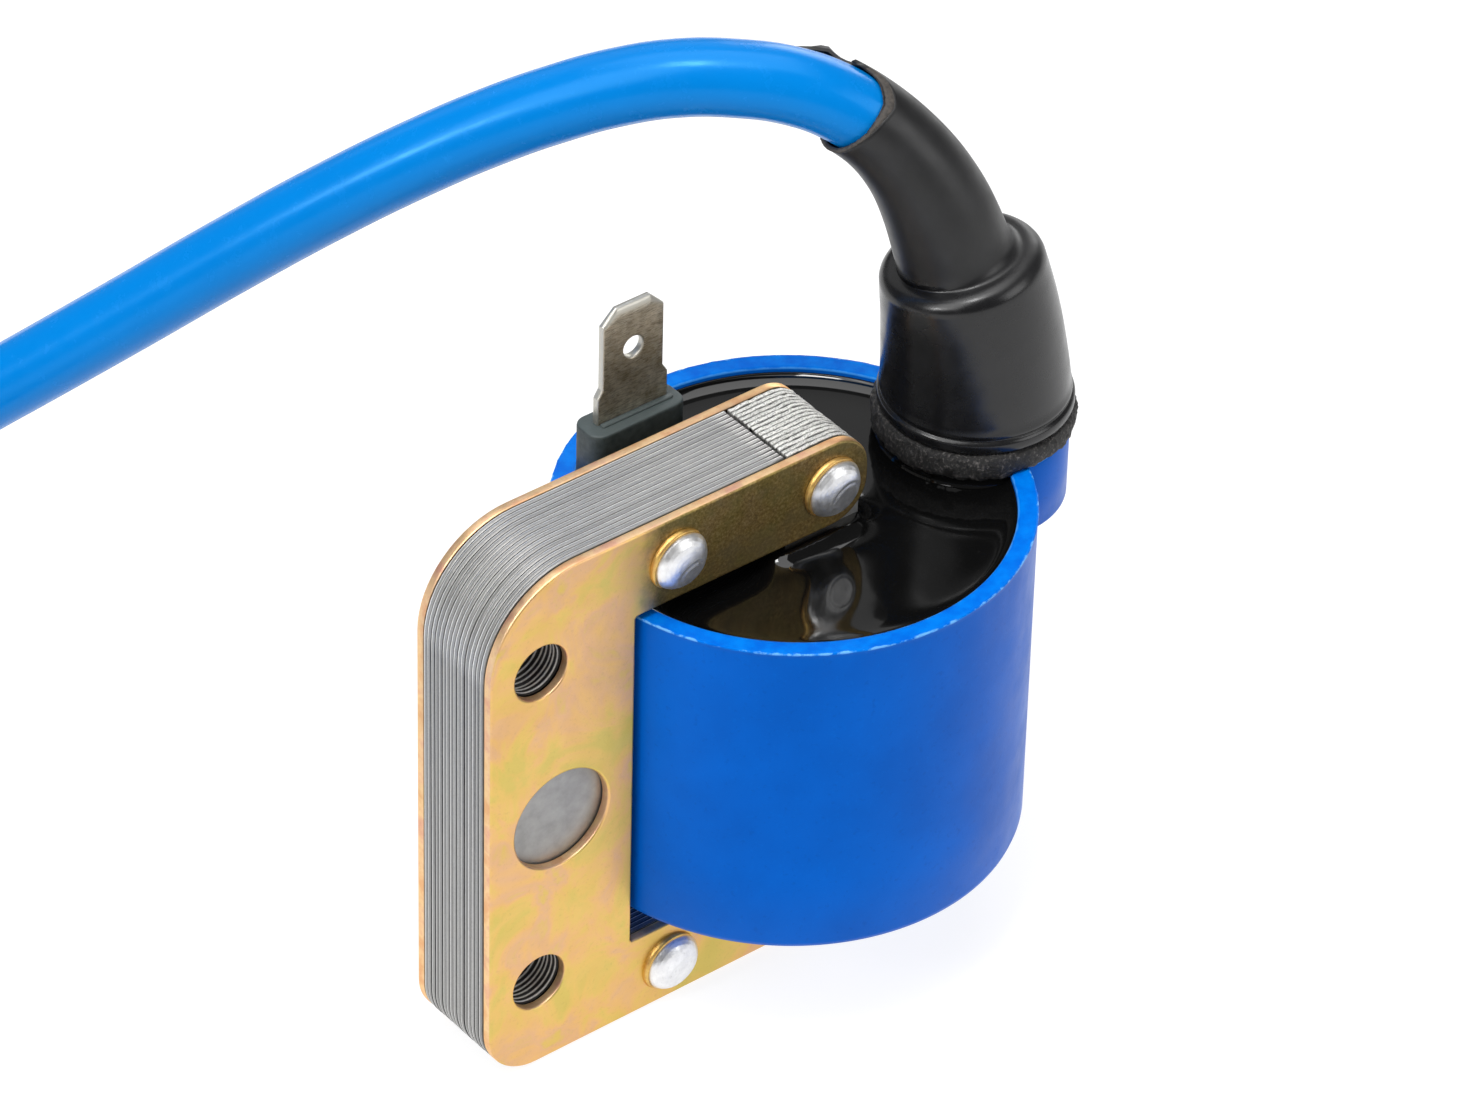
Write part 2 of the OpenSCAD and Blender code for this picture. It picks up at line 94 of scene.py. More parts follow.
def smooth(t):
    t = max(0.0, min(1.0, t))
    return t * t * (3 - 2 * t)


def hump(x, middle, width):
    """1 at the middle, falling away smoothly to both sides."""
    return math.exp(-((x - middle) / width) ** 2)


def wave(x, y=0.0, z=0.0):
    """Smooth noise from -1 to 1."""
    return noise.noise(Vector((x, y, z)))


def hole(x, z, r, count):
    """The outline of a round hole, which runs clockwise."""
    return [
        (x + r * math.cos(-TAU * k / count), z + r * math.sin(-TAU * k / count))
        for k in range(count)
    ]


def rounded(corners, step=12):
    """A closed outline from (x, z, radius) corners, with an arc where there is a radius."""
    out = []
    count = len(corners)
    for i, (x, z, r) in enumerate(corners):
        here = Vector((x, z))
        if r <= 0:
            out.append((x, z))
            continue
        to_last = (Vector(corners[i - 1][:2]) - here).normalized()
        to_next = (Vector(corners[(i + 1) % count][:2]) - here).normalized()
        half = to_last.angle(to_next) / 2
        reach = r / math.tan(half)
        centre = here + (to_last + to_next).normalized() * (r / math.sin(half))
        a = here + to_last * reach - centre
        b = here + to_next * reach - centre
        sweep = a.angle_signed(b)
        for k in range(step + 1):
            p = a.copy()
            p.rotate(Matrix.Rotation(-sweep * k / step, 2))
            out.append(tuple(centre + p))
    return out


def block_outline(x0, y0, x1, y1, r, step):
    return rounded([(x0, y0, r), (x1, y0, r), (x1, y1, r), (x0, y1, r)], step)


def resampled(loop, step):
    """The same closed outline with points no further apart than step."""
    out = []
    for i, p in enumerate(loop):
        q = loop[(i + 1) % len(loop)]
        length = math.dist(p, q)
        parts = max(1, round(length / step))
        out += [(lerp(p[0], q[0], k / parts), lerp(p[1], q[1], k / parts)) for k in range(parts)]
    return out


def inset(loop, d):
    """A closed outline moved to its left by d."""
    out = []
    count = len(loop)
    for i, p in enumerate(loop):
        a, b = loop[i - 1], loop[(i + 1) % count]
        u = Vector((p[0] - a[0], p[1] - a[1])).normalized()
        v = Vector((b[0] - p[0], b[1] - p[1])).normalized()
        n = Vector((-u.y - v.y, u.x + v.x)).normalized()
        lean = max(0.5, n.dot(Vector((-u.y, u.x))))
        out.append((p[0] + n.x * d / lean, p[1] + n.y * d / lean))
    return out


def piece(name, verts, faces, material, stands_for=(), slot=None, flat=()):
    """A mesh piece from points in millimetres, riding on the one body."""
    mesh = bpy.data.meshes.new(name)
    mesh.from_pydata([(x / 1000, y / 1000, z / 1000) for x, y, z in verts], [], faces)
    bm = bmesh.new()
    bm.from_mesh(mesh)
    bm.faces.ensure_lookup_table()
    for f in bm.faces:
        f.smooth = f.index not in flat
    bmesh.ops.recalc_face_normals(bm, faces=bm.faces)
    bm.to_mesh(mesh)
    bm.free()
    obj = bpy.data.objects.new(name, mesh)
    bpy.context.scene.collection.objects.link(obj)
    obj.data.materials.append(material)
    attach(obj, "root")
    if stands_for:
        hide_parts(*stands_for)
    return obj


def plate(name, loops, y0, y1, bevel, material, segments=2, bend=None, **facts):
    """A flat plate between y0 and y1 with round edges, from its outline and then those of its holes."""
    profile = []
    for k in range(segments + 1):
        t = math.pi / 2 * k / segments
        profile.append((bevel * (1 - math.sin(t)), y0 + bevel * (1 - math.cos(t))))
    profile += [(d, y0 + y1 - y) for d, y in reversed(profile)]
    verts, faces, starts = [], [], []
    for d, y in profile:
        row = []
        for loop in loops:
            row.append(len(verts))
            verts += [(x, y, z) for x, z in inset(loop, d)]
        starts.append(row)
    for a, b in zip(starts, starts[1:]):
        for loop, s, t in zip(loops, a, b):
            count = len(loop)
            for k in range(count):
                m = (k + 1) % count
                faces.append((s + k, s + m, t + m, t + k))
    sides = len(faces)
    for row in (starts[0], starts[-1]):
        shape = []
        index = []
        for s, loop in zip(row, loops):
            shape.append([Vector((verts[s + k][0], verts[s + k][2], 0)) for k in range(len(loop))])
            index += range(s, s + len(loop))
        faces += [tuple(index[i] for i in tri) for tri in tessellate_polygon(shape)]
    if bend:
        verts = [bend(*v) for v in verts]
    return piece(name, verts, faces, material, flat=set(range(sides, len(faces))), **facts)


def skin(rings, closed=True):
    """Points and faces that join equal rings of points one after the other, with or without ends."""
    verts = [p for ring in rings for p in ring]
    count = len(rings[0])
    faces = []
    for r in range(len(rings) - 1):
        for k in range(count):
            a, b = r * count + k, r * count + (k + 1) % count
            faces.append((a, b, b + count, a + count))
    if closed:
        faces.append(tuple(range(count)))
        faces.append(tuple(range((len(rings) - 1) * count, len(rings) * count)))
    return verts, faces


def add_skin(verts, faces, rings):
    """Adds the skin of more rings to the points and faces of a mesh."""
    more, sides = skin(rings)
    faces += [tuple(i + len(verts) for i in f) for f in sides]
    verts += more


def lathe(profile, centre, sides, shape=None):
    """Rings round an upright axis from (radius, z) pairs, which shape(angle, radius, z) may change."""
    rings = []
    for r, z in profile:
        ring = []
        for k in range(sides):
            a = TAU * k / sides
            ring_r, ring_z = shape(a, r, z) if shape else (r, z)
            ring.append((centre[0] + ring_r * math.cos(a), centre[1] + ring_r * math.sin(a), ring_z))
        rings.append(ring)
    return rings


# ---------------- materials

class Look:
    """A node material whose textures are in millimetres of the row frame."""

    def __init__(self, name):
        self.material = bpy.data.materials.new(name)
        self.material.use_nodes = True
        self.tree = self.material.node_tree
        self.shader = next(n for n in self.tree.nodes if n.type == "BSDF_PRINCIPLED")
        coords = self.tree.nodes.new("ShaderNodeTexCoord")
        self.mm = self.vector("MULTIPLY", coords.outputs["Object"], (1000, 1000, 1000))

    def put(self, socket, value):
        if isinstance(value, bpy.types.NodeSocket):
            self.tree.links.new(value, socket)
        elif hasattr(value, "__len__") and len(value) == 3 and len(socket.default_value) == 4:
            socket.default_value = (*value, 1)
        else:
            socket.default_value = value

    def new(self, kind, settings=None, **inputs):
        node = self.tree.nodes.new(kind)
        for k, v in (settings or {}).items():
            setattr(node, k, v)
        for k, v in inputs.items():
            self.put(node.inputs[k.replace("_", " ")], v)
        return node

    def vector(self, operation, a, b=None):
        node = self.tree.nodes.new("ShaderNodeVectorMath")
        node.operation = operation
        self.put(node.inputs[0], a)
        if b is not None:
            self.put(node.inputs[1], b)
        return node.outputs["Value" if operation == "LENGTH" else "Vector"]

    def math(self, operation, a, b=0.0, clamp=False):
        node = self.tree.nodes.new("ShaderNodeMath")
        node.operation = operation
        node.use_clamp = clamp
        self.put(node.inputs[0], a)
        self.put(node.inputs[1], b)
        return node.outputs[0]

    def plus(self, a, b):
        return self.math("ADD", a, b)

    def minus(self, a, b):
        return self.math("SUBTRACT", a, b)

    def times(self, a, b):
        return self.math("MULTIPLY", a, b)

    def absolute(self, a):
        return self.math("ABSOLUTE", a)

    def mask(self, a, gain):
        """0 up to a = 0, then rising to 1 at a = 1 / gain."""
        return self.math("MULTIPLY", a, gain, clamp=True)

    def split(self):
        """The x, y and z of a place, in millimetres."""
        node = self.tree.nodes.new("ShaderNodeSeparateXYZ")
        self.put(node.inputs[0], self.mm)
        return node.outputs

    def noise(self, size, detail=3.0, rough=0.5, stretch=(1, 1, 1), distortion=0.0):
        """Noise whose features are about size millimetres across, drawn out along an axis by stretch."""
        at = self.vector("DIVIDE", self.mm, tuple(size * s for s in stretch))
        node = self.new("ShaderNodeTexNoise", Vector=at, Scale=1.0, Detail=detail, Roughness=rough,
                        Distortion=distortion)
        return node.outputs["Fac"]

    def ramp(self, fac, *stops):
        """Colours along a value: (position, grey or colour) pairs."""
        node = self.tree.nodes.new("ShaderNodeValToRGB")
        self.put(node.inputs["Fac"], fac)
        stops = [(p, c if hasattr(c, "__len__") else (c, c, c)) for p, c in stops]
        band = node.color_ramp.elements
        while len(band) < len(stops):
            band.new(0.5)
        for element, (p, c) in zip(band, stops):
            element.position = p
            element.color = (*c, 1)
        return node.outputs["Color"]

    def mix(self, fac, a, b, blend="MIX"):
        node = self.tree.nodes.new("ShaderNodeMix")
        node.data_type = "RGBA"
        node.blend_type = blend
        self.put(node.inputs[0], fac)
        self.put(node.inputs[6], a)
        self.put(node.inputs[7], b)
        return node.outputs[2]

    def tint(self, colour, other, where, amount):
        """The colour, with up to the given amount of another one where the mask is 1."""
        return self.mix(self.times(where, amount), colour, other)

    def darken(self, colour, by):
        return self.mix(1.0, colour, by, "MULTIPLY")

    def bump(self, height, strength, distance, under=None):
        """distance is in millimetres."""
        node = self.new("ShaderNodeBump", Height=height, Strength=strength, Distance=distance / 1000)
        if under is not None:
            self.put(node.inputs["Normal"], under)
        return node.outputs[0]

    def set(self, **inputs):
        for k, v in inputs.items():
            self.put(self.shader.inputs[k.replace("_", " ")], v)
        return self.material


def housing_look():
    """Moulded plastic, with a worn rim that has ragged pale edges."""
    look = Look("blue_plastic")
    z = look.split()["Z"]
    colour = look.ramp(look.noise(11, 3, 0.55), (0.32, (0.0, 0.092, 0.48)), (0.68, (0.0, 0.118, 0.59)))
    speck = look.ramp(look.noise(0.35, 2), (0.60, 0), (0.72, 1))
    colour = look.tint(colour, (0.0, 0.16, 0.66), speck, 0.16)
    dark = look.ramp(look.noise(0.5, 3, 0.6), (0.30, 1), (0.40, 0))
    colour = look.tint(colour, (0.0, 0.05, 0.32), dark, 0.25)
    above = look.minus(z, RIM_Z - 0.25)
    top = look.mask(above, 8.0)
    worn = look.ramp(look.noise(1.6, 4, 0.6), (0.35, (0.0, 0.13, 0.66)), (0.65, (0.0, 0.21, 0.80)))
    colour = look.tint(colour, worn, top, 0.85)
    flat = look.vector("MULTIPLY", look.vector("SUBTRACT", look.mm, (CUP_X, 0, 0)), (1, 1, 0))
    radius = look.vector("LENGTH", flat)
    ragged = look.times(look.minus(look.noise(1.1, 5, 0.7), 0.5), 1.2)
    outer = look.mask(look.plus(look.minus(radius, CUP_R), ragged), 9.0)
    outer = look.times(outer, look.mask(above, 6.0))
    colour = look.tint(colour, (0.20, 0.52, 0.92), outer, 0.75)
    inner = look.mask(look.plus(look.minus(CAVITY_R + 0.16, radius), look.times(ragged, 0.35)), 9.0)
    inner = look.times(inner, top)
    colour = look.tint(colour, (0.10, 0.40, 0.86), inner, 0.5)
    rough = look.ramp(look.noise(3.5, 4, 0.6), (0.3, 0.30), (0.7, 0.42))
    normal = look.bump(look.noise(0.16, 3, 0.6), 0.25, 0.02, look.bump(look.noise(5, 2), 0.3, 0.05))
    return look.set(Base_Color=colour, Roughness=rough, Normal=normal, Specular_IOR_Level=0.14,
                    Specular_Tint=(0.05, 0.42, 1.0))


def potting_look():
    look = Look("black_resin")
    dust = look.ramp(look.noise(0.22, 2, 0.6), (0.70, 0.003), (0.80, 0.02))
    rough = look.ramp(look.noise(2.5, 3), (0.4, 0.05), (0.75, 0.10))
    waves = look.bump(look.noise(7, 1), 0.35, 0.05)
    normal = look.bump(look.noise(0.9, 3, 0.6), 0.08, 0.012, waves)
    return look.set(Base_Color=dust, Roughness=rough, Normal=normal, Specular_IOR_Level=0.5)


def lamination_look(name, body, line, gap, coarse):
    """Sheared sheet edges: each sheet has a painted highlight along the burr on one side and painted shade in
    the dark joint along the other.
    """
    look = Look(name)
    x, y, z = look.split()
    grain = look.noise(0.17, 4, 0.7)
    along = look.noise(1.4, 4, 0.6, stretch=(1, 0.14, 1))
    wander = look.times(look.minus(along, 0.5), 0.08 + 0.16 * coarse)
    sheet = look.plus(look.math("DIVIDE", look.plus(y, STACK_T / 2), LAM_T), wander)
    number = look.math("FLOOR", sheet)
    place = look.math("FRACT", sheet)
    # place runs across each sheet; edge gives the painted shade of the joint at 0 and the painted highlight
    # along the burr at 1
    if coarse:
        edge = look.ramp(place, (0.0, 0.05), (0.05, 0.22), (0.17, 0.95), (0.76, 1.0), (0.90, 0.55),
                         (0.97, 0.05))
    else:
        edge = look.ramp(place, (0.0, 0.0), (0.08, 0.0), (0.14, 0.36), (0.68, 0.36), (0.74, 1.0), (0.90, 1.0),
                         (0.95, 0.0))
    upper_arm = look.mask(look.minus(z, ARM_TOP - 1.5), 0.7)
    # The painted shade in the joints is lighter on the upper arm
    joint = look.mix(upper_arm, gap, (0.14, 0.14, 0.135))
    colour = look.mix(edge, joint, line)
    middle = look.ramp(place, (0.13, 0), (0.20, 1), (0.64, 1), (0.70, 0))
    colour = look.tint(colour, body, middle, 0.1 if coarse else 0.92)
    tone = look.new("ShaderNodeTexWhiteNoise", {"noise_dimensions": "1D"}, W=number).outputs["Value"]
    colour = look.darken(colour, look.ramp(tone, (0, 0.80), (1, 1.0)))
    colour = look.darken(colour, look.ramp(grain, (0.36, 0.84 - 0.40 * coarse), (0.50, 1.0)))
    # The flat faces of the stack, then the joint between yoke and core, painted near-black as the shade deep
    # in its gap
    on_face = look.mask(look.minus(look.absolute(y), STACK_T / 2 - 0.035), 60.0)
    plain = look.ramp(look.noise(1.5, 4, 0.6), (0.3, (0.36, 0.355, 0.34)), (0.7, (0.48, 0.47, 0.45)))
    colour = look.mix(on_face, colour, plain)
    colour = look.darken(colour, look.ramp(upper_arm, (0, 0.84), (1, 1.0)))
    seam_shade = look.minus(0.23, look.absolute(look.minus(x, SEAM_X + 0.05)))
    colour = look.mix(look.mask(seam_shade, 9.0), colour, (0.004, 0.004, 0.004))
    # The mounting bores, where each sheet is painted as a bright arc: painted highlights, with painted shade
    # between them. The metal is turned down there so that the painted colour shows.
    in_bores = []
    for hole_z in MOUNT_Z:
        off = look.vector("MULTIPLY", look.vector("SUBTRACT", look.mm, (MOUNT_X, 0, hole_z)), (1, 0, 1))
        in_bores.append(look.mask(look.minus(MOUNT_R + 0.25, look.vector("LENGTH", off)), 12.0))
    bore = look.math("MAXIMUM", *in_bores)
    arc_highlight_and_shade = look.ramp(place, (0.0, 0.0), (0.30, 0.0), (0.46, 1.0), (0.66, 1.0), (0.82, 0.0))
    colour = look.mix(bore, colour, look.mix(arc_highlight_and_shade, (0.004, 0.004, 0.004), (1.0, 0.99, 0.96)))
    ridge = look.math("SINE", look.times(place, math.pi))
    height = look.plus(look.times(ridge, 0.5), look.times(grain, 0.25 + 0.7 * coarse))
    height = look.times(height, look.minus(1.0, look.times(on_face, 0.9)))
    normal = look.bump(height, 0.4 + 0.4 * coarse, 0.05 + 0.12 * coarse)
    rough = look.ramp(along, (0.3, 0.38), (0.7, 0.52))
    metal = look.minus(0.72, look.times(bore, 0.65))
    return look.set(Base_Color=colour, Metallic=metal, Roughness=rough, Normal=normal)


def passivated_look():
    """Zinc under a yellow film that drifts into green and pink, sandier on the upper arm."""
    look = Look("yellow_passivated_zinc")
    x, y, z = look.split()
    cloud = look.noise(12, 3, 0.55, distortion=0.6)
    film = look.noise(6, 4, 0.55, distortion=0.9)
    colour = look.ramp(cloud, (0.30, (0.66, 0.42, 0.105)), (0.45, (0.76, 0.50, 0.15)),
                       (0.58, (0.80, 0.52, 0.19)), (0.72, (0.70, 0.48, 0.11)))
    drift = look.ramp(film, (0.34, (0.62, 0.54, 0.13)), (0.45, (0.78, 0.54, 0.16)),
                      (0.52, (0.82, 0.48, 0.22)), (0.60, (0.74, 0.42, 0.30)), (0.68, (0.70, 0.52, 0.14)))
    colour = look.mix(0.6, colour, drift)
    # The plate's sheared edge, away from the middle of its thickness
    depth = look.absolute(look.minus(look.absolute(y), STACK_T / 2 + CHEEK_T / 2))
    rim = look.minus(1.0, look.mask(look.minus(depth, 0.36), 12.0))
    # The rings round the rivets stand out of the plate
    proud = look.mask(look.minus(look.absolute(y), STACK_T / 2 + CHEEK_T + 0.03), 20.0)
    grime = look.times(look.noise(1.1, 5, 0.65), 2.4)
    past_leg = look.mask(look.plus(look.minus(x, -15.4), grime), 0.42)
    upper_arm = look.mask(look.minus(z, ARM_TOP - 0.6), 2.0)
    shade = look.times(past_leg, upper_arm)
    shade = look.times(shade, look.minus(1.0, rim))
    shade = look.times(shade, look.minus(1.0, proud))
    sand = look.ramp(look.noise(0.28, 4, 0.7), (0.36, (0.085, 0.058, 0.014)), (0.52, (0.20, 0.145, 0.044)),
                     (0.66, (0.36, 0.27, 0.11)))
    moss = look.ramp(look.noise(3.2, 4, 0.6), (0.44, 0.0), (0.60, 0.45))
    sand = look.mix(moss, sand, (0.115, 0.125, 0.060))
    colour = look.tint(colour, sand, shade, 0.86)
    pressed = look.ramp(look.noise(0.9, 3, 0.6), (0.35, (0.58, 0.32, 0.10)), (0.65, (0.80, 0.54, 0.17)))
    colour = look.tint(colour, pressed, proud, 0.85)
    # The sheared edge's own orange-pink colour, lightened as a painted highlight along it
    edge = look.ramp(look.noise(2.6, 4, 0.6), (0.34, (0.80, 0.44, 0.25)), (0.50, (0.92, 0.64, 0.38)),
                     (0.66, (0.78, 0.42, 0.31)))
    colour = look.tint(colour, edge, rim, 0.85)
    # Painted shade: near-black on the cheek's inner edge, where it meets the stack
    corner_shade = look.minus(STACK_T / 2 + 0.17, look.absolute(y))
    colour = look.mix(look.mask(corner_shade, 12.0), colour, (0.03, 0.02, 0.012))
    colour = look.darken(colour, look.ramp(look.noise(0.3, 3, 0.6), (0.30, 0.93), (0.42, 1.0)))
    rough = look.ramp(look.noise(1.8, 5, 0.65), (0.3, 0.34), (0.7, 0.48))
    normal = look.bump(look.noise(0.22, 3, 0.6), 0.3, 0.03, look.bump(look.noise(3, 2), 0.25, 0.05))
    return look.set(Base_Color=colour, Metallic=0.85, Roughness=rough, Normal=normal,
                    Specular_Tint=(1.0, 0.82, 0.5))


def rivet_look():
    """Bright scuffed metal, with painted shade in a dark ring at the foot of each head."""
    look = Look("rivet_aluminium")
    y = look.split()["Y"]
    colour = look.ramp(look.noise(0.8, 4, 0.6), (0.3, (0.78, 0.78, 0.79)), (0.7, (0.96, 0.96, 0.96)))
    scuff = look.ramp(look.noise(0.22, 4, 0.65, stretch=(1, 1, 3)), (0.30, 0.82), (0.42, 1.0))
    colour = look.darken(colour, scuff)
    # Painted shade in the crease where each head meets the plate
    foot = look.mask(look.minus(STACK_T / 2 + CHEEK_T + 0.17, look.absolute(y)), 12.0)
    colour = look.tint(colour, (0.05, 0.03, 0.015), foot, 0.9)
    rough = look.ramp(look.noise(0.5, 3), (0.3, 0.28), (0.7, 0.42))
    normal = look.bump(look.noise(0.14, 3, 0.6), 0.3, 0.03)
    return look.set(Base_Color=colour, Metallic=0.85, Roughness=rough, Normal=normal)


def tab_look():
    look = Look("tinned_steel")
    y, z = look.split()[1:]
    brushed = look.noise(0.16, 5, 0.7, stretch=(4, 1, 0.7))
    stain = look.noise(1.7, 5, 0.65)
    colour = look.ramp(stain, (0.32, (0.28, 0.235, 0.155)), (0.50, (0.46, 0.41, 0.32)),
                       (0.66, (0.62, 0.57, 0.47)))
    high = look.mask(look.minus(z, BLOCK_TOP + 5), 0.12)
    colour = look.tint(colour, (0.62, 0.57, 0.47), high, 0.5)
    colour = look.darken(colour, look.ramp(brushed, (0.36, 0.50), (0.56, 1.0)))
    inside = look.minus(TAB_T / 2, look.absolute(look.minus(y, TAB_Y)))
    colour = look.mix(look.mask(look.minus(inside, 0.02), 16.0), colour, (0.58, 0.56, 0.50))
    rough = look.ramp(stain, (0.3, 0.50), (0.7, 0.38))
    return look.set(Base_Color=colour, Metallic=0.8, Roughness=rough, Normal=look.bump(brushed, 0.5, 0.03))


def block_look():
    look = Look("slate_plastic")
    z = look.split()["Z"]
    colour = look.ramp(look.noise(0.7, 4, 0.6), (0.3, (0.020, 0.028, 0.028)), (0.7, (0.046, 0.058, 0.058)))
    # Painted light: the top face is lighter than the sides
    top = look.mask(look.minus(z, BLOCK_TOP - 0.12), 12.0)
    colour = look.tint(colour, (0.075, 0.095, 0.095), top, 0.7)
    rough = look.ramp(look.noise(1.0, 3), (0.3, 0.50), (0.7, 0.66))
    normal = look.bump(look.noise(0.25, 3, 0.6), 0.4, 0.04)
    return look.set(Base_Color=colour, Roughness=rough, Normal=normal)


def rubber_look():
    """Black rubber, duller on the sleeve than on the cap."""
    look = Look("cap_rubber")
    z = look.split()["Z"]
    colour = look.ramp(look.noise(3.0, 4, 0.6), (0.3, (0.0045, 0.0045, 0.005)), (0.7, (0.009, 0.009, 0.010)))
    sleeve = look.mask(look.minus(z, RIM_Z + 16.5), 0.7)
    rough = look.ramp(look.noise(2.0, 4, 0.6), (0.3, 0.20), (0.7, 0.31))
    rough = look.plus(rough, look.times(sleeve, 0.17))
    normal = look.bump(look.noise(0.3, 3, 0.6), 0.14, 0.02, look.bump(look.noise(4, 2), 0.45, 0.10))
    return look.set(Base_Color=colour, Roughness=rough, Normal=normal, Specular_IOR_Level=0.5)


def bead_look():
    look = Look("sealing_compound")
    grain = look.noise(0.30, 5, 0.75)
    colour = look.ramp(grain, (0.38, (0.004, 0.004, 0.004)), (0.54, (0.020, 0.019, 0.018)),
                       (0.64, (0.13, 0.12, 0.115)))
    rough = look.ramp(grain, (0.3, 0.45), (0.7, 0.8))
    return look.set(Base_Color=colour, Roughness=rough, Normal=look.bump(grain, 0.9, 0.22))


def sheath_look():
    look = Look("blue_sheath")
    colour = look.mix(look.noise(9, 3, 0.5), (0.0, 0.176, 0.565), (0.0, 0.210, 0.65))
    marks = look.ramp(look.noise(0.9, 4, 0.7, distortion=0.6), (0.64, 0), (0.74, 1))
    colour = look.tint(colour, (0.03, 0.34, 0.86), marks, 0.25)
    rough = look.ramp(look.noise(1.6, 4, 0.65), (0.35, 0.20), (0.7, 0.30))
    normal = look.bump(look.noise(0.4, 3, 0.6), 0.18, 0.03, look.bump(look.noise(6, 2), 0.3, 0.08))
    return look.set(Base_Color=colour, Roughness=rough, Normal=normal, Specular_IOR_Level=0.5,
                    Specular_Tint=(0.20, 0.62, 1.0))


def wire_look(name, low, high, pitch):
    """Enamelled copper wire wound in turns of the given pitch."""
    look = Look(name)
    z = look.split()["Z"]
    turns = look.math("SINE", look.times(z, TAU / pitch))
    colour = look.ramp(look.noise(1.2, 3), (0.3, low), (0.7, high))
    rough = look.ramp(look.noise(2, 3), (0.3, 0.25), (0.7, 0.4))
    return look.set(Base_Color=colour, Metallic=0.8, Roughness=rough, Normal=look.bump(turns, 0.8, 0.05))


def plain_look(name, low, high, rough_low, rough_high, metallic=0.0, size=1.0):
    look = Look(name)
    grain = look.noise(size, 4, 0.6)
    normal = look.bump(look.noise(size / 4, 3, 0.6), 0.3, 0.03)
    return look.set(Base_Color=look.ramp(grain, (0.3, low), (0.7, high)), Metallic=metallic,
                    Roughness=look.ramp(grain, (0.3, rough_low), (0.7, rough_high)), Normal=normal)


BLUE = housing_look()
RESIN = potting_look()
# line is the colour of the painted highlight along each burr; gap is the colour of the painted shade in the
# joints
YOKE_STEEL = lamination_look("yoke_sheet_edges", body=(0.40, 0.395, 0.385), line=(1.0, 0.99, 0.96),
                             gap=(0.015, 0.015, 0.015), coarse=0)
CORE_STEEL = lamination_look("core_sheet_edges", body=(0.70, 0.69, 0.65), line=(1.0, 0.99, 0.94),
                             gap=(0.06, 0.06, 0.055), coarse=1)
ZINC = passivated_look()
ALUMINIUM = rivet_look()
TIN = tab_look()
SLATE = block_look()
RUBBER = rubber_look()
CUT_RUBBER = plain_look("cut_rubber", (0.020, 0.018, 0.016), (0.085, 0.072, 0.062), 0.55, 0.8, size=0.35)
BEAD = bead_look()
SHEATH = sheath_look()
COPPER = plain_look("copper_strand", (0.55, 0.24, 0.12), (0.86, 0.44, 0.24), 0.22, 0.42, 1.0, 0.5)

# ---------------- camera

# Place in metres, then azimuth, elevation and roll in degrees, from the fit to the photograph
CAMERA_AT = (-0.33756, -0.41007, 0.45368)
CAMERA_TURN = (-39.233, 38.007, 1.509)
CAMERA_LENS = 199.52


def add_camera():
    az, el, roll = (math.radians(degrees) for degrees in CAMERA_TURN)
    back = Vector((math.sin(az) * math.cos(el), -math.cos(az) * math.cos(el), math.sin(el)))
    right = Vector((math.cos(az), math.sin(az), 0))
    up = back.cross(right)
    across = right * math.cos(roll) + up * math.sin(roll)
    rise = up * math.cos(roll) - right * math.sin(roll)
    data = bpy.data.cameras.new("camera")
    data.sensor_width = 36
    data.lens = CAMERA_LENS
    data.clip_start, data.clip_end = 0.05, 20
    camera = bpy.data.objects.new("camera", data)
    bpy.context.scene.collection.objects.link(camera)
    turned = Matrix((across, rise, back)).transposed().to_4x4()
    camera.matrix_world = Matrix.Translation(CAMERA_AT) @ turned
    bpy.context.scene.camera = camera


add_camera()

# ---------------- high-voltage lead

# (distance along the floor, height above the rim), as in the CAD source
LEAD_ROUTE = [
    (0, -3.2), (0, 1.5), (0.1, 5.5), (0.6, 9.5), (1.4, 13.5), (2.5, 17.5), (4, 21.8), (6.1, 25.8),
    (9, 29.3), (12.4, 31.8), (16.2, 33.3), (20.5, 33.9), (25.5, 33.8), (30.6, 32.7), (35.5, 30.9),
    (40.3, 28.7), (46, 25.6), (54, 20.6), (62.5, 14.7), (71, 8.5), (79.5, 2.4), (84, -0.8), (88, -3.7),
    (92, -6.5), (96, -9.4), (100, -12.2), (104, -15), (108.5, -18.2), (116, -23.6), (122, -27.9),
    (128.5, -32.5), (135, -36.2), (141.5, -38.2), (149, -38.95), (156, -38.95),
]
TURN_S = 84
TURN_R = 36
TURN_LENGTH = TURN_R * (math.pi - HEADING)
COIL_R = 37.6
COIL_PITCH = 6.6
COIL_TURNS = 1.7


def place_at(s):
    """The x and y of a point s along the floor: straight on, round a turn, then along -X."""
    if s <= TURN_S:
        return BOSS_X + s * math.cos(HEADING), s * math.sin(HEADING)
    h = HEADING + min(1.0, (s - TURN_S) / TURN_LENGTH) * (math.pi - HEADING)
    cx = BOSS_X + TURN_S * math.cos(HEADING) - TURN_R * math.sin(HEADING)
    cy = TURN_S * math.sin(HEADING) + TURN_R * math.cos(HEADING)
    beyond = max(0.0, s - TURN_S - TURN_LENGTH)
    return cx + TURN_R * math.sin(h) - beyond, cy - TURN_R * math.cos(h)


def lead_path():
    points = [(*place_at(s), RIM_Z + h) for s, h in LEAD_ROUTE]
    x, y = place_at(LEAD_ROUTE[-1][0])
    per_turn = 20
    for k in range(1, round(COIL_TURNS * per_turn) + 1):
        a = math.pi / 2 + TAU * k / per_turn
        r = COIL_R - COIL_PITCH * k / per_turn
        points.append((x + r * math.cos(a), y - COIL_R + r * math.sin(a), LEAD_R))
    return points


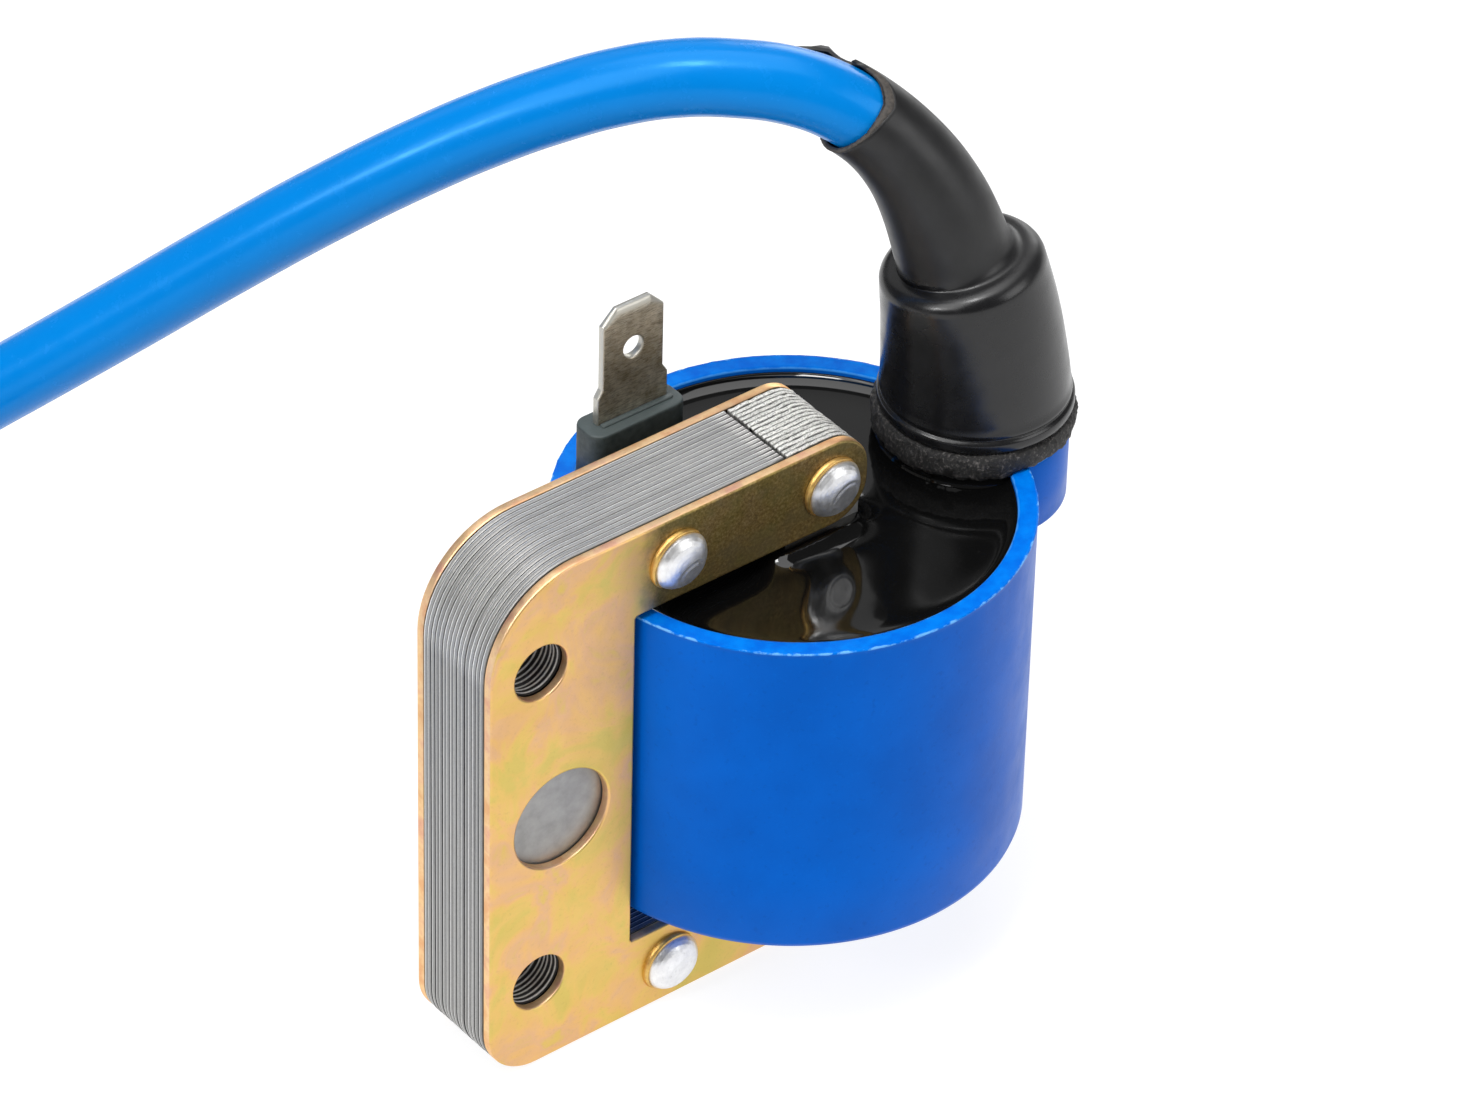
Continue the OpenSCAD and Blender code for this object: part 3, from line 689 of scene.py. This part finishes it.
def add_lead():
    """The lead as one curve, with its twisted strands bare at the far end."""
    path = lead_path()
    data = bpy.data.curves.new("lead", "CURVE")
    data.dimensions = "3D"
    data.bevel_depth = LEAD_R / 1000
    data.bevel_resolution = 8
    data.resolution_u = 10
    data.use_fill_caps = True
    spline = data.splines.new("BEZIER")
    spline.bezier_points.add(len(path) - 1)
    for b, p in zip(spline.bezier_points, path):
        b.co = [c / 1000 for c in p]
        b.handle_left_type = b.handle_right_type = "AUTO"
    data.materials.append(SHEATH)
    lead = bpy.data.objects.new("high_voltage_lead", data)
    bpy.context.scene.collection.objects.link(lead)
    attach(lead, "root")
    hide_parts("hv_lead", "hv_lead_coil")

    end = Vector(path[-1])
    way = (end - Vector(path[-2])).normalized()
    side = way.cross(Vector((0, 0, 1))).normalized()
    up = side.cross(way)
    verts, faces = [], []
    strand_r, lay_r = 0.31, 0.62
    turns = [TAU * k / 6 for k in range(6)]
    middles = [(0.0, 0.0)] + [(lay_r * math.cos(a), lay_r * math.sin(a)) for a in turns]
    for u, v in middles:
        rings = []
        for j in range(9):
            at = end + way * (-0.6 + 2.5 * j / 8)
            twist = 0.22 * j
            cu = u * math.cos(twist) - v * math.sin(twist)
            cv = u * math.sin(twist) + v * math.cos(twist)
            ring = []
            for k in range(12):
                a = TAU * k / 12
                pu, pv = cu + strand_r * math.cos(a), cv + strand_r * math.sin(a)
                ring.append(tuple(at + side * pu + up * pv))
            rings.append(ring)
        add_skin(verts, faces, rings)
    strand = piece("lead_conductor_strands", verts, faces, COPPER, ["hv_lead_conductor"], "copper_strand")


add_lead()

# ---------------- laminated core

FOOT_R, HEEL_R, TIP_R, INNER_R = 4.9, 9.0, 3.6, 0.3
YOKE_END = SEAM_X - 0.1
CORE_START = SEAM_X + 0.2
YOKE = rounded([
    (LEG_X, 0, FOOT_R), (YOKE_END, 0, 0), (YOKE_END, ARM_LOW, 0), (LEG_IN, ARM_LOW, INNER_R),
    (LEG_IN, ARM_TOP, INNER_R), (YOKE_END, ARM_TOP, 0), (YOKE_END, STACK_H, 0), (LEG_X, STACK_H, HEEL_R),
])
CORE = rounded([
    (CORE_START, 0, 0.15), (TIP_X, 0, TIP_R), (TIP_X, STACK_H, TIP_R), (CORE_START, STACK_H, 0.15),
])
CHEEK = rounded([
    (LEG_X, 0, FOOT_R), (TIP_X, 0, TIP_R), (TIP_X, ARM_LOW, TIP_R), (LEG_IN, ARM_LOW, INNER_R),
    (LEG_IN, ARM_TOP, INNER_R), (TIP_X, ARM_TOP, TIP_R), (TIP_X, STACK_H, TIP_R), (LEG_X, STACK_H, HEEL_R),
], 16)


# Above this height the sheets' edges are uneven; below it they stand level on the floor
UPPER_HALF = 25


def add_laminations():
    """The sheets of both packs, each a little out of line, and those of the core with ragged edges."""
    rng = random.Random(7)
    yoke_loop = resampled(YOKE, 1.5)
    core_loop = resampled(CORE, 0.45)
    for i in range(LAM_N):
        y0 = -STACK_T / 2 + i * LAM_T
        dx, dz = rng.uniform(-0.03, 0.03), rng.uniform(-0.03, 0.0)
        if i in (0, LAM_N - 1):
            dx = dz = 0.0
        loop = [(x + dx, z + (dz if z > UPPER_HALF else 0)) for x, z in yoke_loop]
        holes = []
        for z in MOUNT_Z:
            holes.append(hole(MOUNT_X + dx * 1.5, z + dz, MOUNT_R + 0.10 * rng.uniform(-1, 0.4), 40))
        plate(f"yoke_lamination_{i + 1:02d}", [loop, *holes], y0 + 0.01, y0 + LAM_T - 0.01, 0.06, YOKE_STEEL,
              stands_for=["yoke_lamination_pack"] if i == 0 else (), slot="lamination_steel")
        seed = rng.uniform(0, 50)
        rough = []
        for x, z in core_loop:
            lift = 0.12 * wave(z * 1.9 + 9, x * 1.9, seed) if z > UPPER_HALF else 0
            rough.append((x + 0.08 * wave(x * 1.9, z * 1.9, seed), z + lift))
        plate(f"core_lamination_{i + 1:02d}", [rough], y0 + 0.015, y0 + LAM_T - 0.02, 0.12, CORE_STEEL,
              stands_for=["core_lamination_pack"] if i == 0 else (), slot="lamination_steel")


def add_cheeks():
    gap, shank_r = 0.04, 1.55
    holes = [hole(MOUNT_X, z, MOUNT_R, 56) for z in MOUNT_Z]
    holes.append(hole(*WINDOW, 80))
    holes += [hole(x, z, shank_r, 32) for x, z in RIVETS.values()]
    for name, y0, node in (
        ("front_cheek", -STACK_T / 2 - CHEEK_T, "front_cheek_plate"),
        ("rear_cheek", STACK_T / 2 + gap, "rear_cheek_plate"),
    ):
        plate(name, [CHEEK, *holes], y0, y0 + CHEEK_T - gap, 0.22, ZINC, segments=4, stands_for=[node],
              slot="passivated_steel")


# A rivet head from its top to its foot: (radius, height above the plate)
HEAD = [
    (0.02, 1.30), (0.5, 1.288), (1.0, 1.235), (1.4, 1.15), (1.8, 1.01), (2.15, 0.81), (2.42, 0.55),
    (2.60, 0.28), (2.68, 0.12), (2.66, 0.0), (1.5, -0.02),
]
HEAD_STEPS = 5


def add_rivets():
    """Domed heads, each with a flat facet near its top and a groove round the facet."""
    rng = random.Random(3)
    count, groove, groove_width, facet_reach = 72, 0.08, 0.045, 2.5
    for name, (x, z) in RIVETS.items():
        rings = []
        for end in (-1, 1):
            way, slope = rng.uniform(-1.25, -0.75), rng.uniform(0.20, 0.25)
            top = 1.10 + 2.48 * slope * slope + (0.10 if name == "upper_yoke_rivet" else 0.0)
            rows = []
            for i in range(HEAD_STEPS * (len(HEAD) - 1) + 1):
                k, part = divmod(i, HEAD_STEPS)
                r, h = HEAD[k]
                if part:
                    r, h = (lerp(v, w, part / HEAD_STEPS) for v, w in zip(HEAD[k], HEAD[k + 1]))
                row = []
                for j in range(count):
                    a = TAU * j / count
                    u, v = r * math.cos(a), r * math.sin(a)
                    head_h = h
                    if r < facet_reach:
                        facet = top - slope * (u * math.cos(way) + v * math.sin(way))
                        head_h = min(h, facet) - groove * hump(h, facet, groove_width)
                    head_h += 0.008 * wave(u * 1.4, v * 1.4, x + end)
                    row.append((x + u, end * (STACK_T / 2 + CHEEK_T + head_h), z + v))
                rows.append(row)
            rings += rows if end < 0 else list(reversed(rows))
        verts, faces = skin(rings)
        piece(name + "_set", verts, faces, ALUMINIUM, [name], "rivet_aluminium")


def add_rivet_rims():
    """The plate stands up in a low rim round the upper left of each rivet head."""
    for name, side in (("front_rivet_rims", -1), ("rear_rivet_rims", 1)):
        verts, faces = [], []
        for x, z in RIVETS.values():
            rings = []
            for j in range(41):
                t = j / 40
                a = math.radians(lerp(38, 232, t))
                swell = math.sin(math.pi * t) ** 0.6 + 0.02
                ring = []
                for k in range(12):
                    b = TAU * k / 12
                    r = 2.62 + swell * (0.24 + 0.28 * math.cos(b))
                    y = side * (STACK_T / 2 + CHEEK_T + swell * 0.52 * math.sin(b))
                    ring.append((x + r * math.cos(a), y, z + r * math.sin(a)))
                rings.append(ring)
            add_skin(verts, faces, rings)
        piece(name, verts, faces, ZINC, slot="passivated_steel")


add_laminations()
add_cheeks()
add_rivets()
add_rivet_rims()

# ---------------- housing and potting

def add_housing():
    """The cup with flash on its rim, the boss with the lead's socket, and the square neck over the core."""
    cup = [
        (0.05, CUP_Z), (12, CUP_Z), (19.3, CUP_Z), (19.75, CUP_Z + 0.06), (20.1, CUP_Z + 0.25),
        (CUP_R, CUP_Z + 0.7), (CUP_R, 18), (CUP_R, 26), (CUP_R, 34), (CUP_R, RIM_Z - 0.6),
        (CUP_R, RIM_Z - 0.25), (CUP_R + 0.05, RIM_Z - 0.10), (CUP_R + 0.02, RIM_Z + 0.02),
        (CUP_R - 0.16, RIM_Z), (CUP_R - 0.5, RIM_Z - 0.02), (CAVITY_R + 0.35, RIM_Z - 0.02),
        (CAVITY_R + 0.1, RIM_Z - 0.05), (CAVITY_R, RIM_Z - 0.18), (CAVITY_R, RIM_Z - 1), (CAVITY_R, 30),
        (CAVITY_R, 12.6), (17, 12.5), (0.05, 12.5),
    ]

    def flash(a, r, z):
        if r > CUP_R - 0.1 and z > RIM_Z - 0.3:
            burr = max(0.0, wave(a * 21, 3.0) * 0.7 + wave(a * 60, 8.0) * 0.5)
            return r + 0.10 * burr, z + 0.05 * burr
        return r, z

    verts, faces = skin(lathe(cup, (CUP_X, 0), 288, flash))
    boss = [
        (0.05, RIM_Z - 7.3), (7.4, RIM_Z - 7.3), (7.8, RIM_Z - 7.22), (BOSS_R, RIM_Z - 6.95),
        (BOSS_R, RIM_Z - 4), (BOSS_R, RIM_Z - 0.35), (BOSS_R - 0.08, RIM_Z - 0.1), (BOSS_R - 0.3, RIM_Z),
        (6.4, RIM_Z), (6.4, RIM_Z + 8), (3.4, RIM_Z + 8), (3.3, RIM_Z - 4), (0.05, RIM_Z - 4),
    ]
    add_skin(verts, faces, lathe(boss, (BOSS_X, 0), 128))
    neck = 12
    core_x = (SEAM_X + TIP_X) / 2
    shape = block_outline(core_x - neck / 2, -neck / 2, core_x + neck / 2, neck / 2, 0.6, 4)
    rings = []
    for z in (ARM_LOW + 0.02, ARM_LOW + 0.3, CUP_Z - 0.3, CUP_Z + 0.4):
        rings.append([(x, y, z) for x, y in shape])
    add_skin(verts, faces, rings)
    piece("coil_cup", verts, faces, BLUE, ["housing"], "housing_plastic")


def box_distance(x, y, x0, y0, x1, y1):
    dx = max(x0 - x, 0, x - x1)
    dy = max(y0 - y, 0, y - y1)
    return math.hypot(dx, dy)


def pot_height(x, y):
    """The cast surface climbs the wall and whatever stands in it."""
    wall = CAVITY_R - math.hypot(x - CUP_X, y)
    arm = box_distance(x, y, SEAM_X, -3.4, TIP_X - 1.6, 3.4) - 1.6
    block = box_distance(x, y, BLOCK_X - 3.7, BLOCK_Y - 0.6, BLOCK_X + 3.7, BLOCK_Y + 0.6) - 1.2
    climb = 0.75 * math.exp(-max(wall, 0) / 0.75)
    climb += 1.0 * math.exp(-max(arm, 0) / (1.0 + 0.12 * wave(x * 0.3, y * 0.3)))
    climb += 0.9 * math.exp(-max(block, 0) / 0.8)
    return POT_Z + min(climb, 1.15)


def add_potting():
    """The cast resin, just clear of the cup's wall, with the fillet that it leaves along the boss."""
    sides, wall_r = 220, CAVITY_R - 0.02
    radii = [0.05] + [0.3 * k for k in range(1, 57)]
    radii += [17.0, 17.2, 17.4, 17.6, 17.8, 17.95, 18.1, 18.22, 18.34, 18.44, wall_r]
    rings = []
    for r in radii:
        ring = []
        for k in range(sides):
            a = TAU * k / sides
            x, y = CUP_X + r * math.cos(a), r * math.sin(a)
            ring.append((x, y, pot_height(x, y)))
        rings.append(ring)
    rings += lathe([(wall_r, 40), (wall_r, 12.55), (0.05, 12.55)], (CUP_X, 0), sides)
    verts, faces = skin(rings)
    fillet = [
        (8.07, POT_Z - 0.3), (8.55, POT_Z - 0.3), (8.42, POT_Z - 0.02), (8.30, POT_Z + 0.10),
        (8.24, POT_Z + 0.28), (8.20, POT_Z + 0.6), (8.16, POT_Z + 1.0), (8.07, RIM_Z + 0.1),
    ]
    first, last, steps = math.radians(109.5), math.radians(250.5), 72
    arc = []
    for k in range(steps + 1):
        a = lerp(first, last, k / steps)
        arc.append([(BOSS_X + r * math.cos(a), r * math.sin(a), z) for r, z in fillet])
    add_skin(verts, faces, arc)
    piece("cast_resin", verts, faces, RESIN, ["potting_compound"], "potting_resin")


add_housing()
add_potting()

# ---------------- primary terminal

def add_terminal():
    """The tab, and the block that it stands in, with a lip in front of the tab's foot."""
    top = BLOCK_TOP + TAB_H
    half, foot, end, bevel = TAB_W / 2, 3.65, 1.75, 0.2
    outline = rounded([
        (TAB_X - foot, BLOCK_TOP - 1, 0), (TAB_X + foot, BLOCK_TOP - 1, 0),
        (TAB_X + foot, BLOCK_TOP + 2.6, 0.2), (TAB_X + half, BLOCK_TOP + 3.4, 0.2),
        (TAB_X + half, top - 1.4, 0.15), (TAB_X + end, top, 0.15),
        (TAB_X - end, top, 0.15), (TAB_X - half, top - 1.4, 0.15),
        (TAB_X - half, BLOCK_TOP + 3.4, 0.2), (TAB_X - foot, BLOCK_TOP + 2.6, 0.2),
    ], 4)

    def chamfer(x, y, z):
        near_face = 1 - min(1.0, (TAB_T / 2 - abs(y - TAB_Y)) / bevel)
        return x, y, z - 0.70 * near_face * smooth((z - top + 1.6) / 1.2)

    detent = hole(TAB_X, top - 4.5, 1.0, 40)
    plate("tab_blade", [outline, detent], TAB_Y - TAB_T / 2, TAB_Y + TAB_T / 2, bevel, TIN,
          segments=3, bend=chamfer, stands_for=["primary_terminal"], slot="tinned_steel")
    rings = []
    for z, d in (
        (37, 0), (BLOCK_TOP - 0.3, 0), (BLOCK_TOP - 0.12, 0.04), (BLOCK_TOP - 0.03, 0.12), (BLOCK_TOP, 0.24),
    ):
        lx, ly = BLOCK_L / 2 - d, BLOCK_T / 2 - d
        shape = block_outline(BLOCK_X - lx, BLOCK_Y - ly, BLOCK_X + lx, BLOCK_Y + ly, 1.2 - d, 8)
        rings.append([(x, y, z) for x, y in shape])
    verts, faces = skin(rings)
    lip = []
    for z, d in ((BLOCK_TOP - 0.1, 0), (BLOCK_TOP + 0.14, 0), (BLOCK_TOP + 0.2, 0.08)):
        shape = rounded([
            (TAB_X - 3.5 + d, TAB_Y - 0.95 + d, 0.2), (TAB_X + 3.9 - d, TAB_Y - 0.95 + d, 0.2),
            (TAB_X + 3.9 - d, TAB_Y - 0.42 - d / 2, 0.1), (TAB_X - 3.5 + d, TAB_Y - 0.42 - d / 2, 0.1),
        ], 4)
        lip.append([(x, y, z) for x, y in shape])
    add_skin(verts, faces, lip)
    piece("tab_base", verts, faces, SLATE, ["terminal_block"], "block_plastic")


add_terminal()

# ---------------- lead cap

def cap_point(s, side, z):
    """A point by its place along the lead's heading, its place across that, and its height."""
    return (
        BOSS_X + s * math.cos(HEADING) - side * math.sin(HEADING),
        s * math.sin(HEADING) + side * math.cos(HEADING),
        z,
    )


def route_at(t):
    """Place (s, z) on a smooth curve through the lead's route, and the unit direction there."""
    i = max(1, min(len(LEAD_ROUTE) - 3, int(t)))
    u = t - i
    p0, p1, p2, p3 = (Vector(LEAD_ROUTE[i + k]) for k in (-1, 0, 1, 2))
    a = (p2 - p0) / 2
    b = p0 - 2.5 * p1 + 2 * p2 - p3 / 2
    c = (3 * (p1 - p2) + p3 - p0) / 2
    at = p1 + a * u + b * u * u + c * u ** 3
    way = (a + 2 * b * u + 3 * c * u * u).normalized()
    return at.x, RIM_Z + at.y, way


# Where the sleeve's torn end lies, round the lead: (degrees from the inside of the bend, route index)
SLEEVE_END = [
    (0, 8.80), (50, 8.56), (100, 8.44), (150, 8.44), (180, 8.60), (194, 8.72), (201, 9.02), (211, 9.10),
    (216, 8.96), (224, 8.90), (236, 9.00), (242, 9.36), (247, 10.00), (253, 10.12), (261, 9.90), (272, 9.50),
    (290, 9.24), (318, 9.02), (360, 8.80),
]
# Route index at which the sleeve leaves the cap's body
SLEEVE_START = 4.86


def sleeve_end(degrees):
    for (a, s), (b, t) in zip(SLEEVE_END, SLEEVE_END[1:]):
        if a <= degrees <= b:
            return lerp(s, t, (degrees - a) / (b - a))


def cut_slope(degrees):
    """How much further back the cut ends outside than inside."""
    return 0.15 * hump(degrees, 165, 42)


def flap_lift(degrees, t):
    """How far the long torn flap stands off the lead, between its root and its tip."""
    rise = smooth((t - 9.10) / 0.32)
    fall = 1 - 0.88 * smooth((t - 9.44) / 0.52)
    return 1.15 * hump(degrees, 251, 10) * rise * fall


def add_cap():
    """The cap's tapered body, its sleeve up to the torn end, and the cut edge of the rubber there."""
    angles = [TAU * k / 144 for k in range(144)]
    base = RIM_Z + 2.1
    height, top_r, fillet = 14.65, 7.05, 1.45
    waist_r, waist_h, taper_steps = 8.02, 2.6, 11
    body = [
        (6.6, 0.0), (8.0, 0.0), (8.25, 0.12), (8.36, 0.45), (8.36, 0.95), (8.28, 1.18), (8.12, 1.28),
        (8.04, 1.38), (8.08, 1.50), (8.14, 1.68), (8.12, 1.90), (8.04, 2.10), (waist_r, waist_h),
    ]
    for k in range(1, taper_steps + 1):
        h = lerp(waist_h, height - fillet, k / taper_steps)
        taper = (h - waist_h) / (height - fillet - waist_h)
        body.append((lerp(waist_r, top_r, taper) + 0.10 * math.sin(math.pi * k / taper_steps), h))
    for k in range(1, 8):
        t = math.pi / 2 * k / 7
        body.append((top_r - fillet * (1 - math.cos(t)), height - fillet * (1 - math.sin(t))))
    body += [(5.35, height), (5.10, height + 0.06)]
    rings = []
    for r, h in body:
        t = h / height
        tilt, lean = 0.229 * t * t, 0.155 * smooth(t * 2) + 1.71 * t * t
        ring = []
        for a in angles:
            u, v = r * math.cos(a), r * math.sin(a)
            dent = 1 - 0.018 * smooth((h - 3) / 3) * smooth((12 - h) / 3) * max(0.0, math.cos(a - 0.9)) ** 2
            ring.append(cap_point(lean + dent * u * math.cos(tilt), dent * v, base + h - u * math.sin(tilt)))
        rings.append(ring)

    def sleeve_point(a, t, r):
        s, z, way = route_at(t)
        r += flap_lift(math.degrees(a), t)
        u, v = r * math.cos(a), r * math.sin(a)
        return cap_point(s + u * way.y, v, z - u * way.x)

    steps = 34
    ends = [sleeve_end(math.degrees(a)) + 0.018 * wave(a * 17, 3.0, 5.0) for a in angles]
    slopes = [cut_slope(math.degrees(a)) for a in angles]
    for j in range(steps + 1):
        t = j / steps
        r = lerp(4.86, 3.78, smooth(t * 1.15)) + 0.16 * math.exp(-t * 22)
        rings.append([
            sleeve_point(a, lerp(SLEEVE_START, e - c, t), r) for a, e, c in zip(angles, ends, slopes)
        ])
    for r, back, share in (
        (3.74, 0.0, 1.0), (3.70, -0.01, 0.9), (3.48, -0.01, 0.1),
        (3.44, 0.02, 0), (3.42, 0.2, 0), (3.35, 1.2, 0),
    ):
        rings.append([sleeve_point(a, e - back - share * c, r) for a, e, c in zip(angles, ends, slopes)])
    verts, faces = skin(rings)
    piece("rubber_lead_cap", verts, faces, RUBBER, ["hv_lead_cap"], "cap_rubber")

    # Where no cut face shows, under the flaps, the edge is tucked inside the wall
    rings = []
    for r, d, share in (
        (3.80, -0.02, 1), (3.81, 0.012, 1), (3.62, 0.022, 0.5), (3.40, 0.012, 0), (3.39, -0.02, 0),
    ):
        ring = []
        for a, e, c in zip(angles, ends, slopes):
            degrees = math.degrees(a)
            tucked = 0.9 * smooth((degrees - 196) / 8) * (1 - smooth((degrees - 330) / 20))
            t = e - share * c + lerp(d, -0.1, tucked)
            ring.append(sleeve_point(a, t, lerp(r + 0.02 * wave(a * 12, d * 9), 3.6, tucked)))
        rings.append(ring)
    verts, faces = skin(rings, closed=False)
    piece("cap_sleeve_cut_edge", verts, faces, CUT_RUBBER, slot="cap_rubber")


def add_bead():
    """A lumpy ring of compound, whose first and last rings are joined into one."""
    sides, turns = 220, 22
    rings = []
    for k in range(sides):
        a = TAU * k / sides
        inward = smooth((-math.cos(a) - 0.22) * 6)
        low = lerp(RIM_Z - 0.1, RIM_Z - 0.45, inward)
        ring = []
        for j in range(turns):
            t = TAU * j / turns
            u, v = math.cos(t), math.sin(t)
            r = 7.35 + (1.2 + 0.2 * inward) * (abs(u) ** (0.7 - 0.3 * inward)) * (1 if u > 0 else -1)
            z = lerp(low, RIM_Z + 2.15, 0.5 + 0.5 * (abs(v) ** 0.7) * (1 if v > 0 else -1))
            lump = 0.24 * wave(a * 7, t * 1.2, 2.0) + 0.16 * wave(a * 26, t * 3, 7.0)
            ring.append((BOSS_X + (r + lump) * math.cos(a), (r + lump) * math.sin(a), z + 0.5 * lump * v))
        rings.append(ring)
    rings.append(rings[0])
    verts, faces = skin(rings, closed=False)
    obj = piece("cap_sealing_bead", verts, faces, BEAD, ["cap_seal"], "seal_compound")
    bm = bmesh.new()
    bm.from_mesh(obj.data)
    bmesh.ops.remove_doubles(bm, verts=bm.verts, dist=1e-7)
    bm.to_mesh(obj.data)
    bm.free()


add_cap()
add_bead()

# ---------------- windings inside the potting

def dress(material, *names):
    """Gives CAD nodes that keep their shape a material of their own."""
    for name in names:
        data = nodes[name].data
        data.materials.clear()
        data.materials.append(material)


dress(plain_look("bobbin_nylon", (0.60, 0.57, 0.47), (0.78, 0.75, 0.66), 0.4, 0.6),
      "primary_bobbin", "secondary_bobbin")
dress(wire_look("primary_wire", (0.42, 0.13, 0.04), (0.66, 0.26, 0.09), 0.55), "primary_winding")
dress(wire_look("secondary_wire", (0.50, 0.20, 0.07), (0.72, 0.33, 0.13), 0.12), "secondary_winding")
dress(plain_look("insulating_film", (0.58, 0.44, 0.20), (0.74, 0.60, 0.32), 0.18, 0.34), "winding_insulation")
dress(plain_look("enamelled_lead_wire", (0.48, 0.15, 0.05), (0.70, 0.28, 0.10), 0.22, 0.36, 0.8, 0.4),
      "primary_lead_wire", "ground_wire", "secondary_lead_wire")
dress(plain_look("contact_brass", (0.58, 0.40, 0.14), (0.80, 0.60, 0.26), 0.22, 0.38, 1.0, 0.6), "hv_contact")

# ---------------- floor and lights

def add_stage():
    look = Look("pale_floor")
    look.set(Base_Color=look.ramp(look.noise(60, 2), (0.3, 0.24), (0.7, 0.26)), Roughness=0.9,
             Specular_IOR_Level=0.1, Emission_Color=(1, 1, 1), Emission_Strength=0.84)
    data = bpy.data.meshes.new("floor")
    half, z = 3, -0.0002
    corners = [(-half, -half, z), (half, -half, z), (half, half, z), (-half, half, z)]
    data.from_pydata(corners, [], [(0, 1, 2, 3)])
    floor = bpy.data.objects.new("floor", data)
    bpy.context.scene.collection.objects.link(floor)
    data.materials.append(look.material)


def add_light(name, at, aim, size, watts, size_y=None):
    """An area light; places and sizes are in metres."""
    data = bpy.data.lights.new(name, "AREA")
    data.shape = "RECTANGLE"
    data.size = size
    data.size_y = size_y or size
    data.energy = watts
    light = bpy.data.objects.new(name, data)
    light.location = at
    light.rotation_mode = "QUATERNION"
    light.rotation_quaternion = (Vector(aim) - Vector(at)).to_track_quat("-Z", "Y")
    bpy.context.scene.collection.objects.link(light)


add_stage()
add_light("key", (-0.85, -0.10, 0.95), (0, 0, 0.03), 0.8, 6.8)
add_light("fill", (0.55, -0.95, 0.55), (0, 0, 0.03), 0.7, 4)
add_light("overhead", (0.05, 0.10, 1.25), (0, 0.02, 0), 1.1, 9.4)
add_light("glint", (-0.29, -0.17, 1.25), (0, 0, 0.03), 0.26, 4.2)
add_light("streak", (-0.95, 0.0, 0.62), (0, 0.03, 0.05), 0.16, 2.0)
add_light("rim", (0.85, 0.55, 0.35), (0, 0, 0.03), 0.5, 2.5)
add_light("backdrop", (0.35, 1.05, 0.85), (0, 0, 0.03), 1.3, 1.3, size_y=0.8)

world = bpy.data.worlds.new("studio")
bpy.context.scene.world = world
world.use_nodes = True
sky = world.node_tree.nodes["Background"].inputs
sky["Color"].default_value = (1, 1, 1, 1)
sky["Strength"].default_value = 0.12
bpy.context.scene.view_settings.view_transform = "Standard"
